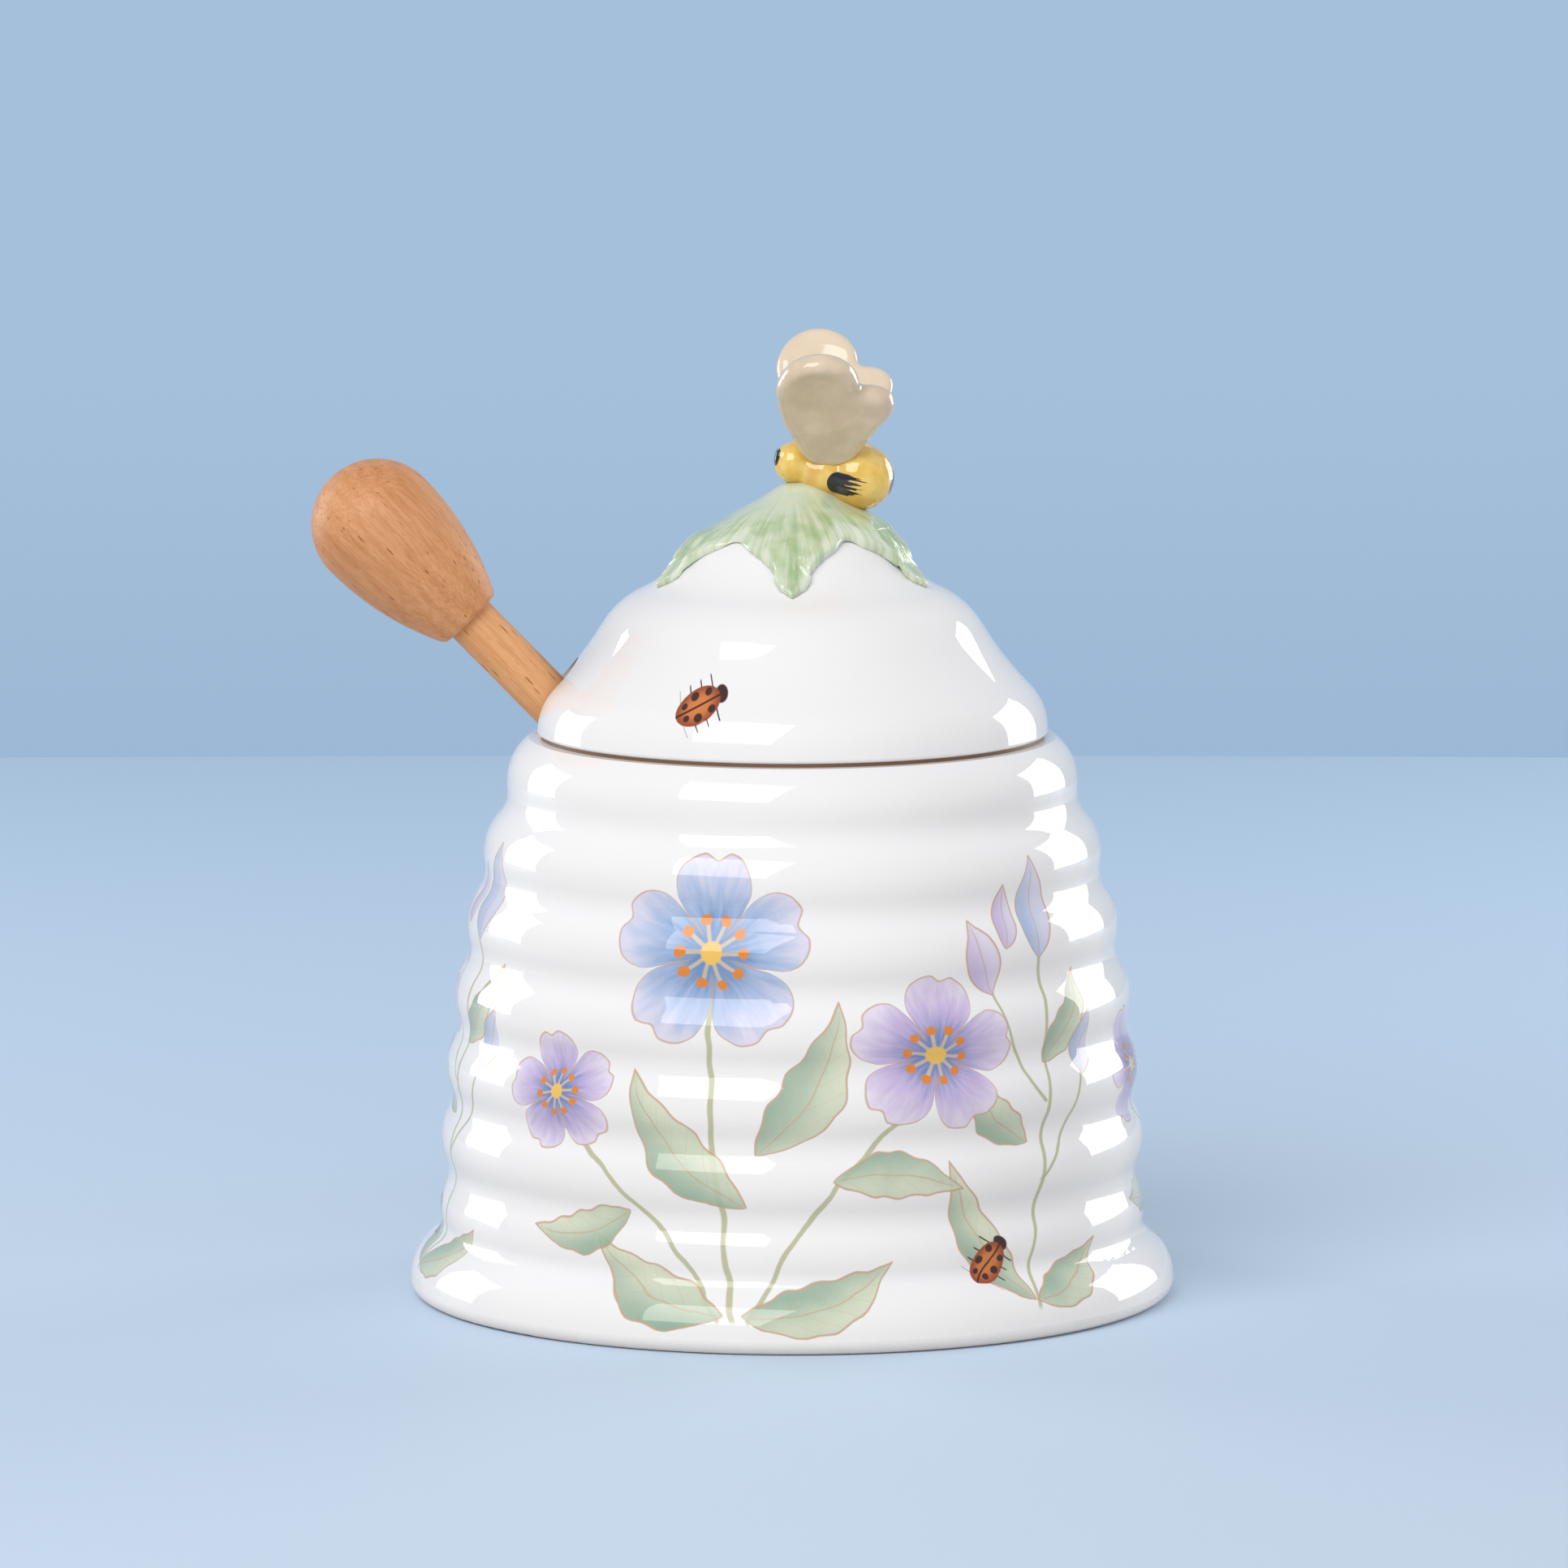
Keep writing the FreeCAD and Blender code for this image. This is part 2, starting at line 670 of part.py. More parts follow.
def make_wing(label, side, bee):
    """A thick two-lobed wing that leans out to one side of the bee and is cut to fit its back."""
    blank = new_body(f"{label}_blank")
    root_radius = dim("wing_root_radius")
    fore, hind = dim("fore_lobe_radius"), dim("hind_lobe_radius")
    lobes = [
        (ZERO, root_radius, root_radius),
        (dim("hind_lobe_offset"), dim("hind_lobe_height"), hind),
        (-dim("fore_lobe_offset"), dim("wing_length") - fore, fore),
    ]
    outline = Outline(blank, f"{label}_outline", "XZ_Plane")
    outline.scallops(lobes, ["line", dim("wing_notch_radius"), "line"])
    slab = blank.newObject("PartDesign::Pad", f"{label}_slab")
    slab.Profile = outline.sketch
    slab.Midplane = True
    slab.setExpression("Length", dim("wing_thickness").text)
    doc.recompute()
    rounding = blank.newObject("PartDesign::Fillet", f"{label}_round")
    rounding.Base = (slab, broad_faces(slab.Shape))
    rounding.setExpression("Radius", dim("wing_edge_round").text)

    root_x, root_z = bee_point(dim("bee_thorax_place"), dim("bee_thorax_radius") - dim("wing_root_drop"))
    rotation = FreeCAD.Rotation(FreeCAD.Vector(-side, 0, 0), dim("wing_lean").number)
    spread = dim("wing_spread") * side
    blank.Placement = FreeCAD.Placement(FreeCAD.Vector(root_x.number, spread.number, root_z.number), rotation)
    blank.setExpression("Placement.Base.x", root_x.text)
    blank.setExpression("Placement.Base.y", spread.text)
    blank.setExpression("Placement.Base.z", root_z.text)
    blank.setExpression("Placement.Rotation.Angle", f"{dim('wing_lean').text} * 1 deg")
    wing = doc.addObject("Part::Cut", label)
    wing.Label = label
    wing.Base = blank
    wing.Tool = bee
    return wing


# The dipper: a dowel glued into a turned knob above and a grooved head below. Its rod leans on the
# rounded inner edge of the rim, and the lower edge of its head stands on the floor near the far wall
socket_radius = shaft_radius + dim("glue_gap")
rim_stand_off = rim_round + dim("dipper_gap") + shaft_radius
head_end_radius = dim("head_end_radius")
foot_x = inner_radius - floor_corner - dim("dipper_foot_inset")
foot_z = floor_height + dim("dipper_gap")
lean_run = foot_x + mouth_radius + rim_round
lean_rise = pot_height - rim_round - foot_z
lean_length = root(lean_run * lean_run + lean_rise * lean_rise)
lean = arc_tangent(lean_rise / lean_run) + arc_sine((rim_stand_off - head_end_radius) / lean_length)
dipper_tilt = derive("dipper_tilt", lean)
dipper_pitch = dipper_tilt - 90
tip_x = foot_x + head_end_radius * sine(dipper_tilt)
tip_z = foot_z + head_end_radius * cosine(dipper_tilt)


def on_dipper(distance):
    """A point of the dipper's axis, measured from its lower end."""
    return tip_x - distance * cosine(dipper_tilt), ZERO, tip_z + distance * sine(dipper_tilt)


def make_knob():
    body = new_body("dipper_knob")
    radius, end_radius = dim("knob_radius"), dim("knob_end_radius")
    bevel = dim("knob_bevel")
    length = dim("knob_length")
    widest = length - radius
    outline = Outline(body, "knob_outline", "XZ_Plane", (socket_radius, ZERO))
    outline.line(end_radius - bevel, ZERO)
    outline.line(end_radius, bevel)
    outline.arc(radius, widest, arc_radius_to_tangent(radius - end_radius, widest - bevel))
    outline.arc(ZERO, length, radius)
    depth = dim("knob_socket_depth")
    outline.line(ZERO, depth)
    outline.line(socket_radius, depth)
    revolve(body, outline.close())
    place(body, on_dipper(dim("dipper_length") - length), dipper_pitch)
    return body


def make_shaft():
    body = new_body("dipper_shaft")
    chamfer = dim("shaft_chamfer")
    low = dim("head_length") - dim("head_socket_depth") + dim("glue_gap")
    high = dim("dipper_length") - dim("knob_length") + dim("knob_socket_depth") - dim("glue_gap")
    length = high - low
    outline = Outline(body, "shaft_outline", "XZ_Plane", (ZERO, ZERO))
    outline.line(shaft_radius - chamfer, ZERO)
    outline.line(shaft_radius, chamfer)
    outline.line(shaft_radius, length - chamfer)
    outline.line(shaft_radius - chamfer, length)
    outline.line(ZERO, length)
    revolve(body, outline.close())
    place(body, on_dipper(low), dipper_pitch)
    return body


def make_head():
    body = new_body("dipper_head")
    length = dim("head_length")
    bulge = dim("head_radius") - head_end_radius
    socket_bottom = length - dim("head_socket_depth")
    outline = Outline(body, "head_outline", "XZ_Plane", (ZERO, ZERO))
    outline.line(head_end_radius, ZERO)
    outline.arc(head_end_radius, length, arc_radius_to_tangent(bulge, length / 2))
    outline.line(socket_radius, length)
    outline.line(socket_radius, socket_bottom)
    outline.line(ZERO, socket_bottom)
    revolve(body, outline.close())

    discs = int(round(dim("head_disc_count").number))
    disc = dim("head_disc_thickness")
    pitch = (length - disc) / (discs - 1)
    core, outside = dim("head_core_radius"), dim("head_radius") * 2
    slot = Outline(body, "groove_outline", "XZ_Plane", (core, disc))
    slot.line(outside, disc)
    slot.line(outside, pitch)
    slot.line(core, pitch)
    first_groove = groove(body, slot.close())
    pattern = body.newObject("PartDesign::LinearPattern", "head_grooves")
    pattern.Originals = [first_groove]
    pattern.Direction = (outline.sketch, ["V_Axis"])
    pattern.Occurrences = discs - 1
    pattern.setExpression("Length", (pitch * (discs - 2)).text)
    body.Tip = pattern
    place(body, on_dipper(ZERO), dipper_pitch)
    return body


LEFT, RIGHT = -1, 1
bee_body = make_bee()
pieces = [
    make_pot(),
    make_lid(),
    make_calyx(),
    bee_body,
    make_wing("bee_wing_left", LEFT, bee_body),
    make_wing("bee_wing_right", RIGHT, bee_body),
    make_knob(),
    make_shaft(),
    make_head(),
]
doc.recompute()

BAD_STATES = {"Invalid", "Error"}
faults = [f"{item.Name}: {item.State}" for item in doc.Objects if BAD_STATES & set(item.State)]
for piece in pieces:
    if piece.Shape.isNull() or not piece.Shape.isValid():
        faults.append(f"{piece.Label}: no valid shape")
if faults:
    raise RuntimeError("; ".join(faults))

os.makedirs("parts", exist_ok=True)
for piece in pieces:
    piece.Shape.exportStep(f"parts/{piece.Label}.step")
    print(f"{piece.Label}: {piece.Shape.Volume:.0f} mm3, solids {len(piece.Shape.Solids)}")
print(f"dipper's tilt: {dipper_tilt.number:.3f} degrees")
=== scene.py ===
# %% [markdown]
# # A honey pot with its dipper
# The pot is white porcelain in the shape of a ribbed hive. Its lid carries five leaves and a bee,
# and a beech dipper leans out of a notch. The CAD model gives every size and every place, so this
# lesson dresses it: it keeps the turned pieces, models the hand-made ones again, and paints all of
# them.

# %% Load the CAD model as a fixed frame
import math

import bpy
from mathutils import Matrix, Vector


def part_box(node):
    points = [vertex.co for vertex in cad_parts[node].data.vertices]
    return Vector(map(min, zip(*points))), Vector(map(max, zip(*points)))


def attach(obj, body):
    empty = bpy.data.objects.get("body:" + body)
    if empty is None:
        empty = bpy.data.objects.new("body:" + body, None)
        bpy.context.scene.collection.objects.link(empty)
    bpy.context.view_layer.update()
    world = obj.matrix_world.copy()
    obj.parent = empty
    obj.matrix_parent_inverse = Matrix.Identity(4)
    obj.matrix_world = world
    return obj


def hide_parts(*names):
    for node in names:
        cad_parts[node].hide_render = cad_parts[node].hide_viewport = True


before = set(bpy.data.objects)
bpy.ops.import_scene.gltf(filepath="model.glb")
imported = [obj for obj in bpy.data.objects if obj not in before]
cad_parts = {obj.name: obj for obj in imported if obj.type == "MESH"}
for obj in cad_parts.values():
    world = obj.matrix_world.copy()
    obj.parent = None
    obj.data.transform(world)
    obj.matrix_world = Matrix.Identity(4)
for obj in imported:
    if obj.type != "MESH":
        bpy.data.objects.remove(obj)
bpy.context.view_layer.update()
bpy.context.scene.view_settings.view_transform = "Standard"
MM = 0.001
FULL_TURN = 2 * math.pi

# %% [markdown]
# ## The camera
# The photograph was taken from a little above, with a long lens: the ellipse of the lid's seam
# gives the height, and the dowel's width the scale. The same view comes from a camera 1.7 m away.

# %% Set up the camera
AIM = Vector((-1.3, 0, 80.8)) * MM
CAMERA_DISTANCE = 1.7
CAMERA_ELEVATION = math.radians(7.4)
SENSOR_WIDTH, LENS = 36, 247
away = Vector((0, -math.cos(CAMERA_ELEVATION), math.sin(CAMERA_ELEVATION)))
bpy.ops.object.camera_add(
    location=AIM + away * CAMERA_DISTANCE,
    rotation=(math.pi / 2 - CAMERA_ELEVATION, 0, 0),
)
camera = bpy.context.object
camera.data.sensor_width = SENSOR_WIDTH
camera.data.lens = LENS
bpy.context.scene.camera = camera
print("camera at", [round(c, 3) for c in camera.location])

# %% [markdown]
# ## Writing shader maths as Python
# A pattern is a long sum of small steps, and a node for each is tedious to add by hand. One small
# class wraps a socket and overloads the operators, so a sum on wires adds its own Math nodes.
# Every other node comes from the one method `node`.

# %% A socket that takes part in sums
class Wire:
    """A value on its way through a node tree."""

    def __init__(self, tree, socket=None):
        self.tree = tree
        self.socket = socket

    def node(self, kind, settings, inputs, output=0):
        """Add a node of a type: its settings first, then the values or links of its sockets."""
        made = self.tree.nodes.new(kind)
        for name, value in settings.items():
            setattr(made, name, value)
        for key, value in inputs.items():
            if isinstance(value, Wire):
                self.tree.links.new(value.socket, made.inputs[key])
            else:
                made.inputs[key].default_value = value
        return Wire(self.tree, made.outputs[output])

    def sum(self, operation, *values):
        return self.node("ShaderNodeMath", {"operation": operation}, dict(enumerate(values)))

    def __add__(self, other):
        return self.sum("ADD", self, other)

    def __sub__(self, other):
        return self.sum("SUBTRACT", self, other)

    def __rsub__(self, other):
        return self.sum("SUBTRACT", other, self)

    def __mul__(self, other):
        return self.sum("MULTIPLY", self, other)

    def __truediv__(self, other):
        return self.sum("DIVIDE", self, other)

    def __abs__(self):
        return self.sum("ABSOLUTE", self)

    __radd__ = __add__
    __rmul__ = __mul__

    def most(self, other):
        return self.sum("MAXIMUM", self, other)

    def fraction(self):
        return self.sum("FRACT", self)

    def root(self):
        return self.sum("SQRT", self)

    def sine(self):
        return self.sum("SINE", self)

    def turn_to(self, other):
        """The angle of the point (other, self)."""
        return self.sum("ARCTAN2", self, other)

    def rise(self, low, high):
        """A soft step from 0 at `low` to 1 at `high`."""
        return self.node("ShaderNodeMapRange", {"interpolation_type": "SMOOTHSTEP"},
                         {0: self, 1: low, 2: high, 3: 0.0, 4: 1.0})

    def mix(self, under, over):
        """The colour `over` laid on `under`, with this wire as its strength."""
        return self.node("ShaderNodeMix", {"data_type": "RGBA"}, {0: self, 6: under, 7: over}, 2)


print("a wire can:", [name for name in vars(Wire) if not name.startswith("_")])

# %% [markdown]
# ## Colours and materials
# Every finish here starts the same way: a principled shader, a pattern over the surface, and a
# wire into Base Color. Colours are written as they look on screen and turned into the linear
# values that a shader adds up.

# %% Helpers for materials
COAT_ROUGHNESS = 0.03


def colour(red, green, blue):
    """A colour written as on screen, from 0 to 255, as the linear values that a shader takes."""
    def linear(part):
        part /= 255
        return part / 12.92 if part <= 0.04045 else ((part + 0.055) / 1.055) ** 2.4
    return (linear(red), linear(green), linear(blue), 1.0)


def new_material(name, roughness, coat=0.0):
    """A material with one principled shader, and a wire to draw its pattern with."""
    material = bpy.data.materials.new(name)
    material.use_nodes = True
    shader = material.node_tree.nodes["Principled BSDF"]
    shader.inputs["Roughness"].default_value = roughness
    shader.inputs["Coat Weight"].default_value = coat
    shader.inputs["Coat Roughness"].default_value = COAT_ROUGHNESS
    return material, shader, Wire(material.node_tree)


def feed(wire, shader, socket):
    wire.tree.links.new(wire.socket, shader.inputs[socket])


def coat_with(piece, material):
    piece.data.materials.clear()
    piece.data.materials.append(material)


print("white on screen is", colour(255, 255, 255)[:3], "in a shader")

# %% [markdown]
# ## Patterns
# The mottling of a glaze and the grain of wood have a real size. So patterns read Object
# coordinates in millimetres: these keep to the real scale, and stay on the piece when it moves.
# Noise gives the mottling, and a bump tilts the surface where a pattern is too fine to model.

# %% Helpers for patterns
def place_in_mm(pen):
    """The x, y and z of the surface in the object's own frame, in millimetres."""
    point = pen.node("ShaderNodeTexCoord", {}, {}, "Object")
    point = pen.node("ShaderNodeVectorMath", {"operation": "SCALE"}, {0: point, "Scale": 1 / MM})
    return [point.node("ShaderNodeSeparateXYZ", {}, {0: point}, axis) for axis in range(3)]


def noise(x, y, z, scale, detail=2.0):
    """Soft random mottling between 0 and 1; the scale is in spots per millimetre."""
    spot = x.node("ShaderNodeCombineXYZ", {}, {0: x, 1: y, 2: z})
    return spot.node("ShaderNodeTexNoise", {}, {"Vector": spot, "Scale": scale, "Detail": detail})


def bump(height, shader, strength, distance):
    """Let a height pattern tilt the surface a little."""
    feed(height.node("ShaderNodeBump", {}, {"Height": height, "Strength": strength,
                                            "Distance": distance}), shader, "Normal")


print("patterns count", round(1 / MM), "steps to the metre")

# %% [markdown]
# ## The table
# The object stands on a pale blue table. A wide disc is the table, moved so that its far edge is
# the straight horizon behind the pot. It looks blue, but the light that it throws back on the pot
# is kept neutral, so that the porcelain stays white: a Light Path node tells the two kinds of ray
# apart.

# %% Lay the table
FLOOR_RADIUS = 4.0
FLOOR_EDGE = 0.671
FLOOR_FAR, FLOOR_NEAR = 700, -300
TABLE_FAR, TABLE_NEAR = colour(190, 219, 248), colour(203, 222, 243)
TABLE_BOUNCE = colour(206, 205, 203)


def seen_rays(pen):
    """1 for the rays that show a surface to the camera, and 0 for the light that it throws back."""
    camera_ray, glossy, through = (pen.node("ShaderNodeLightPath", {}, {}, kind) for kind in (
        "Is Camera Ray", "Is Glossy Ray", "Is Transmission Ray"))
    return camera_ray.most(glossy).most(through)


bpy.ops.object.select_all(action="DESELECT")
bpy.ops.mesh.primitive_circle_add(vertices=512, radius=FLOOR_RADIUS, fill_type="NGON")
bpy.ops.transform.translate(value=(0, FLOOR_EDGE - FLOOR_RADIUS, 0))
bpy.ops.object.transform_apply(location=True)
floor = bpy.context.object
floor.name = "floor"
floor_paint, floor_shader, pen = new_material("pale_floor", 0.6)
table = place_in_mm(pen)[1].rise(FLOOR_FAR, FLOOR_NEAR).mix(TABLE_FAR, TABLE_NEAR)
feed(seen_rays(pen).mix(TABLE_BOUNCE, table), floor_shader, "Base Color")
coat_with(floor, floor_paint)
print("table of", FLOOR_RADIUS, "m, its edge", FLOOR_EDGE, "m behind the pot")

# %% [markdown]
# ## The wall and the fill
# The wall could be a plane, but then it would stand in the way of the other views. So the world is
# the wall: what looks at it sees pale blue, a little deeper at the horizon. The light that comes
# from it is another thing, an almost neutral fill that is strong in front on the right and weak
# behind the pot.

# %% Set the world
BACKDROP, BACKDROP_LOW = colour(165, 192, 219), colour(157, 184, 212)
HORIZON, ABOVE_HORIZON = -0.132, -0.085
FILL_BEHIND, FILL_BEFORE = (0.34, 0.33, 0.325, 1.0), (0.885, 0.86, 0.845, 1.0)
FILL_TO_RIGHT = 0.45
world = bpy.data.worlds.new("backdrop")
bpy.context.scene.world = world
world.use_nodes = True
air = Wire(world.node_tree)
direction = air.node("ShaderNodeTexCoord", {}, {}, "Generated")
aside, depth, incline = (air.node("ShaderNodeSeparateXYZ", {}, {0: direction}, axis)
                         for axis in "XYZ")
wall = incline.rise(HORIZON, ABOVE_HORIZON).mix(BACKDROP_LOW, BACKDROP)
fill = (depth - aside * FILL_TO_RIGHT).rise(0.1, -1.05).mix(FILL_BEHIND, FILL_BEFORE)
feed(seen_rays(air).mix(fill, wall), world.node_tree.nodes["Background"], "Color")
print("world nodes:", len(world.node_tree.nodes))

# %% [markdown]
# ## Three soft boxes
# Glazed ribs show every lamp as a row of small windows, one on each rib. A low upright box stands
# on either side, a little behind the pot: its height sets how tall the windows are, and kept low
# it stays off the lid's slope. A broad box above the camera on the left gives the middle row.

# %% Place the lamps
LAMP_TINT = (1.0, 0.98, 0.955)


def soft_box(name, azimuth, distance, height, tilt, size, power):
    """An area lamp turned to the pot; azimuth 0 is at the camera and 90 on its right."""
    a, e = math.radians(azimuth), math.radians(tilt)
    spot = Vector((math.sin(a) * distance, -math.cos(a) * distance, height))
    way = Vector((math.sin(a) * math.cos(e), -math.cos(a) * math.cos(e), math.sin(e)))
    bpy.ops.object.light_add(type="AREA", location=spot)
    lamp = bpy.context.object
    lamp.name = name
    lamp.rotation_euler = way.to_track_quat("Z", "Y").to_euler()
    lamp.data.shape = "RECTANGLE"
    lamp.data.size, lamp.data.size_y = size
    lamp.data.energy = power
    lamp.data.color = LAMP_TINT


soft_box("left_box", -120, 0.85, 0.25, 0, (0.36, 0.48), 2.3)
soft_box("right_box", 126, 0.85, 0.25, 0, (0.44, 0.48), 2.9)
soft_box("front_box", -28, 1.0, 0.9, 40, (0.84, 0.86), 9.0)

# %% [markdown]
# ## Painting on porcelain
# The decoration is a thin print under the clear glaze, so it has no thickness: it belongs in the
# pot's colour. Each motif is drawn in millimetres on the unrolled wall, with `u` round the pot and
# `v` up it. A leaf is a lens shape about its midrib, with a thin brown outline and a wash that
# runs from a pale to a deep tone. A closed bud is a leaf without veins.

# %% Motifs: leaf and bud
OUTLINE_BROWN = colour(201, 164, 132)
LINE = 0.17
LEAF_LOBES = 4.5


def along_and_across(u, v, root, tip):
    """Coordinates along and across the way from root to tip, as shares of its length."""
    du, dv = tip[0] - root[0], tip[1] - root[1]
    square = du * du + dv * dv
    right, up = u - root[0], v - root[1]
    return (right * (du / square) + up * (dv / square),
            up * (du / square) - right * (dv / square))


def paint_leaf(coat, u, v, mottle, root, tip, width, pale, deep, bend=0.0, veins=0):
    """A lance-shaped leaf or a closed bud, darker on one side of its midrib."""
    line = LINE / math.dist(root, tip)
    along, across = along_and_across(u, v, root, tip)
    hump = (along * (1 - along)).most(0)
    across = across - hump * bend
    half = hump * (1.35 - along * 0.7) * (4 * width)
    if veins:
        half = half * ((along * (FULL_TURN * LEAF_LOBES)).sine() * 0.06 + 1)
    inside = half - abs(across)
    wash = across.rise(-width * 0.7, width * 0.9) * 0.65 + along.rise(0.9, 0.1) * 0.3
    leaf = (wash + mottle * 0.5 - 0.2).mix(pale, deep)
    coat = (inside.rise(0, line * 2) * 0.9).mix(coat, leaf)
    rib = abs(across).rise(line * 1.1, line * 0.3) * along.rise(0.0, 0.1) * along.rise(0.97, 0.8)
    rim = abs(inside - line).rise(line * 1.5, line * 0.4) * hump.rise(0.0, 0.02)
    if veins:
        side_rib = abs(((along - abs(across) * 1.3) * veins).fraction() - 0.5)
        side_rib = side_rib.rise(line * veins * 0.7, line * veins * 0.15)
        rib = rib.most(side_rib * inside.rise(line, line * 5) * along.rise(0.92, 0.8) * 0.5)
    return (rib * 0.6).most(rim * 0.85).mix(coat, OUTLINE_BROWN)


print("a printed outline is about", 2 * LINE, "mm wide")

# %% [markdown]
# ## The stem
# A stem is a bowed line. It uses the same coordinates along and across as the leaf: with the bow
# taken off it is a straight band, which is cut off at both ends.

# %% Motifs: stem
def paint_stem(coat, u, v, root, tip, bow, width, tone):
    """A stem from root to tip that bows to one side."""
    length = math.dist(root, tip)
    along, across = along_and_across(u, v, root, tip)
    across = across - along * (1 - along) * bow
    core = abs(across).rise(width / length, width * 0.55 / length)
    ends = along.rise(-0.01, 0.01) * along.rise(1.01, 0.99)
    return (core * ends * 0.9).mix(coat, tone)


print("motifs so far:", paint_leaf.__name__, paint_stem.__name__)

# %% [markdown]
# ## The blossom
# A blossom is one round petal repeated about its centre: the angle is cut into five equal parts,
# and each part is drawn alike. The wash runs from a deep heart to a pale edge, in streaks along
# the petal, and a ring of amber beads on fine threads stands round the yellow middle.

# %% Motifs: blossom
PETALS = 5
STAMEN_RING, STAMEN_SIZE = 0.33, 0.055
STAMEN_THREAD, STAMEN_BEAD = colour(236, 205, 150), colour(226, 138, 52)
BLOSSOM_EYE = colour(240, 196, 96)


def paint_blossom(coat, u, v, mottle, centre, radius, turn, tilt, heart, petal, edge):
    """An open blossom of five round petals, with a deep heart and a ring of stamens."""
    line = LINE / radius
    du = (u - centre[0]) / radius
    dv = (v - centre[1]) / (radius * tilt)
    out = (du * du + dv * dv).root()
    round_it = dv.turn_to(du) * (PETALS / FULL_TURN) + (turn + PETALS)
    aside = abs(round_it.fraction() - 0.5) * 2
    reach = (1 - aside * aside * aside).most(0).root() * 0.6 + 0.4
    inside = reach - (1 - aside).rise(0.75, 1.0) * 0.07 - out
    streaks = noise(round_it, out * 0.25, radius, 11, 3)
    depth = out + (streaks - 0.5) * 0.55
    wash = depth.rise(0.12, 0.62).mix(heart, petal)
    wash = (depth.rise(0.5, 1.05) * 0.85 + mottle * 0.3 - 0.1).mix(wash, edge)
    coat = (inside.rise(0, line * 2) * 0.93).mix(coat, wash)
    rim = abs(inside - line).rise(line * 1.5, line * 0.4)
    gap = (1 - aside) * out * 0.62
    seam = gap.rise(line * 1.6, line * 0.3) * inside.rise(-line, line) * out.rise(0.14, 0.3)
    coat = (rim.most(seam) * 0.75).mix(coat, OUTLINE_BROWN)
    dots = ((round_it * 2).fraction() - 0.5) * out
    ring = (out - STAMEN_RING) / STAMEN_SIZE
    thread = abs(dots * 9).rise(0.42, 0.16) * out.rise(0.34, 0.3)
    coat = (thread * 0.65).mix(coat, STAMEN_THREAD)
    bead = (dots * 11) * (dots * 11) + ring * ring
    coat = bead.rise(1.25, 0.75).mix(coat, STAMEN_BEAD)
    return out.rise(0.13, 0.1).mix(coat, BLOSSOM_EYE)


print("a blossom has", PETALS, "petals and", 2 * PETALS, "stamens")

# %% [markdown]
# ## The ladybird
# Small ladybirds sit on the print as accents in brown and amber. One is an ellipse for the shell
# and a circle for the head, with round marks on both halves of the shell, a line between the
# halves, and short legs that are stripes cut off near the body.

# %% Motifs: ladybird
BEETLE_DARK, BEETLE_MARK = colour(66, 38, 26), colour(70, 36, 24)
SHELL_AMBER, SHELL_BROWN = colour(214, 128, 60), colour(150, 66, 28)
SHELL_MARKS = ((0.70, 0.17, 0.085), (0.42, 0.21, 0.095), (0.2, 0.12, 0.07))


def paint_ladybird(coat, u, v, root, tip):
    """A ladybird seen from above, from its tail to its head."""
    along, across = along_and_across(u, v, root, tip)
    middle = along - 0.46
    side = abs(across)
    shell = (middle * middle * 4.6 + across * across * 8.2).root()
    on_shell = shell.rise(1.0, 0.94)
    legs = abs((along * 4.4).fraction() - 0.5).rise(0.09, 0.03) * side.rise(0.5, 0.44)
    legs = legs * along.rise(0.1, 0.14) * along.rise(0.84, 0.8)
    head = ((along - 0.94) * (along - 0.94) + across * across * 0.6).root()
    coat = legs.most(head.rise(0.15, 0.12)).mix(coat, BEETLE_DARK)
    coat = on_shell.mix(coat, shell.rise(0.3, 1.05).mix(SHELL_AMBER, SHELL_BROWN))
    marks = side.rise(0.03, 0.012)
    for place, out, size in SHELL_MARKS:
        from_mark = ((along - place) * (along - place) + (side - out) * (side - out)).root()
        marks = marks.most(from_mark.rise(size, size * 0.75))
    return (marks * on_shell).mix(coat, BEETLE_MARK)


print("a ladybird has", 2 * len(SHELL_MARKS), "marks")

# %% [markdown]
# ## The pot
# The turned CAD pot already has the right ribs, foot and rim, so it stays, and only its surface is
# made. Wildflowers grow up its wall from the foot, three clumps round the pot: one clump is drawn,
# and the angle is folded so that it comes back every third of a turn. A slow noise shakes the
# lines, as in a hand drawing. The clear glaze is very smooth, which gives the crisp lights.

# %% Glaze the pot
PORCELAIN, PORCELAIN_SHADE = colour(243, 243, 245), colour(240, 241, 244)
GLAZE_ROUGHNESS, GLAZE_IOR = 0.02, 1.52
CLUMPS = 3
PRINT_RADIUS = 52


def porcelain(name):
    """A white glaze: its material and shader, the place on it, its mottle and its plain white."""
    paint, shader, pen = new_material(name, GLAZE_ROUGHNESS)
    shader.inputs["IOR"].default_value = GLAZE_IOR
    x, y, z = place_in_mm(pen)
    mottle = noise(x, y, z, 0.16, 3)
    return paint, shader, (x, y, z), mottle, mottle.mix(PORCELAIN, PORCELAIN_SHADE)


def unrolled(x, y, z, repeats, radius, turned=0.0):
    """The wall as a flat strip, in millimetres round the pot, folded into repeats, and up it."""
    share = x.turn_to(0 - y) * (repeats / FULL_TURN) + (0.5 + repeats + turned)
    return (share.fraction() - 0.5) * (FULL_TURN * radius / repeats), z


pot_paint, pot_shader, (x, y, z), mottle, plain = porcelain("painted_porcelain")
u, v = unrolled(x, y, z, CLUMPS, PRINT_RADIUS)
shake = noise(x, y, z, 0.11, 1) - 0.5
u = u + shake * 2.4
v = v + (mottle - 0.5) * 1.2
print("a clump is", round(FULL_TURN * PRINT_RADIUS / CLUMPS), "mm wide")

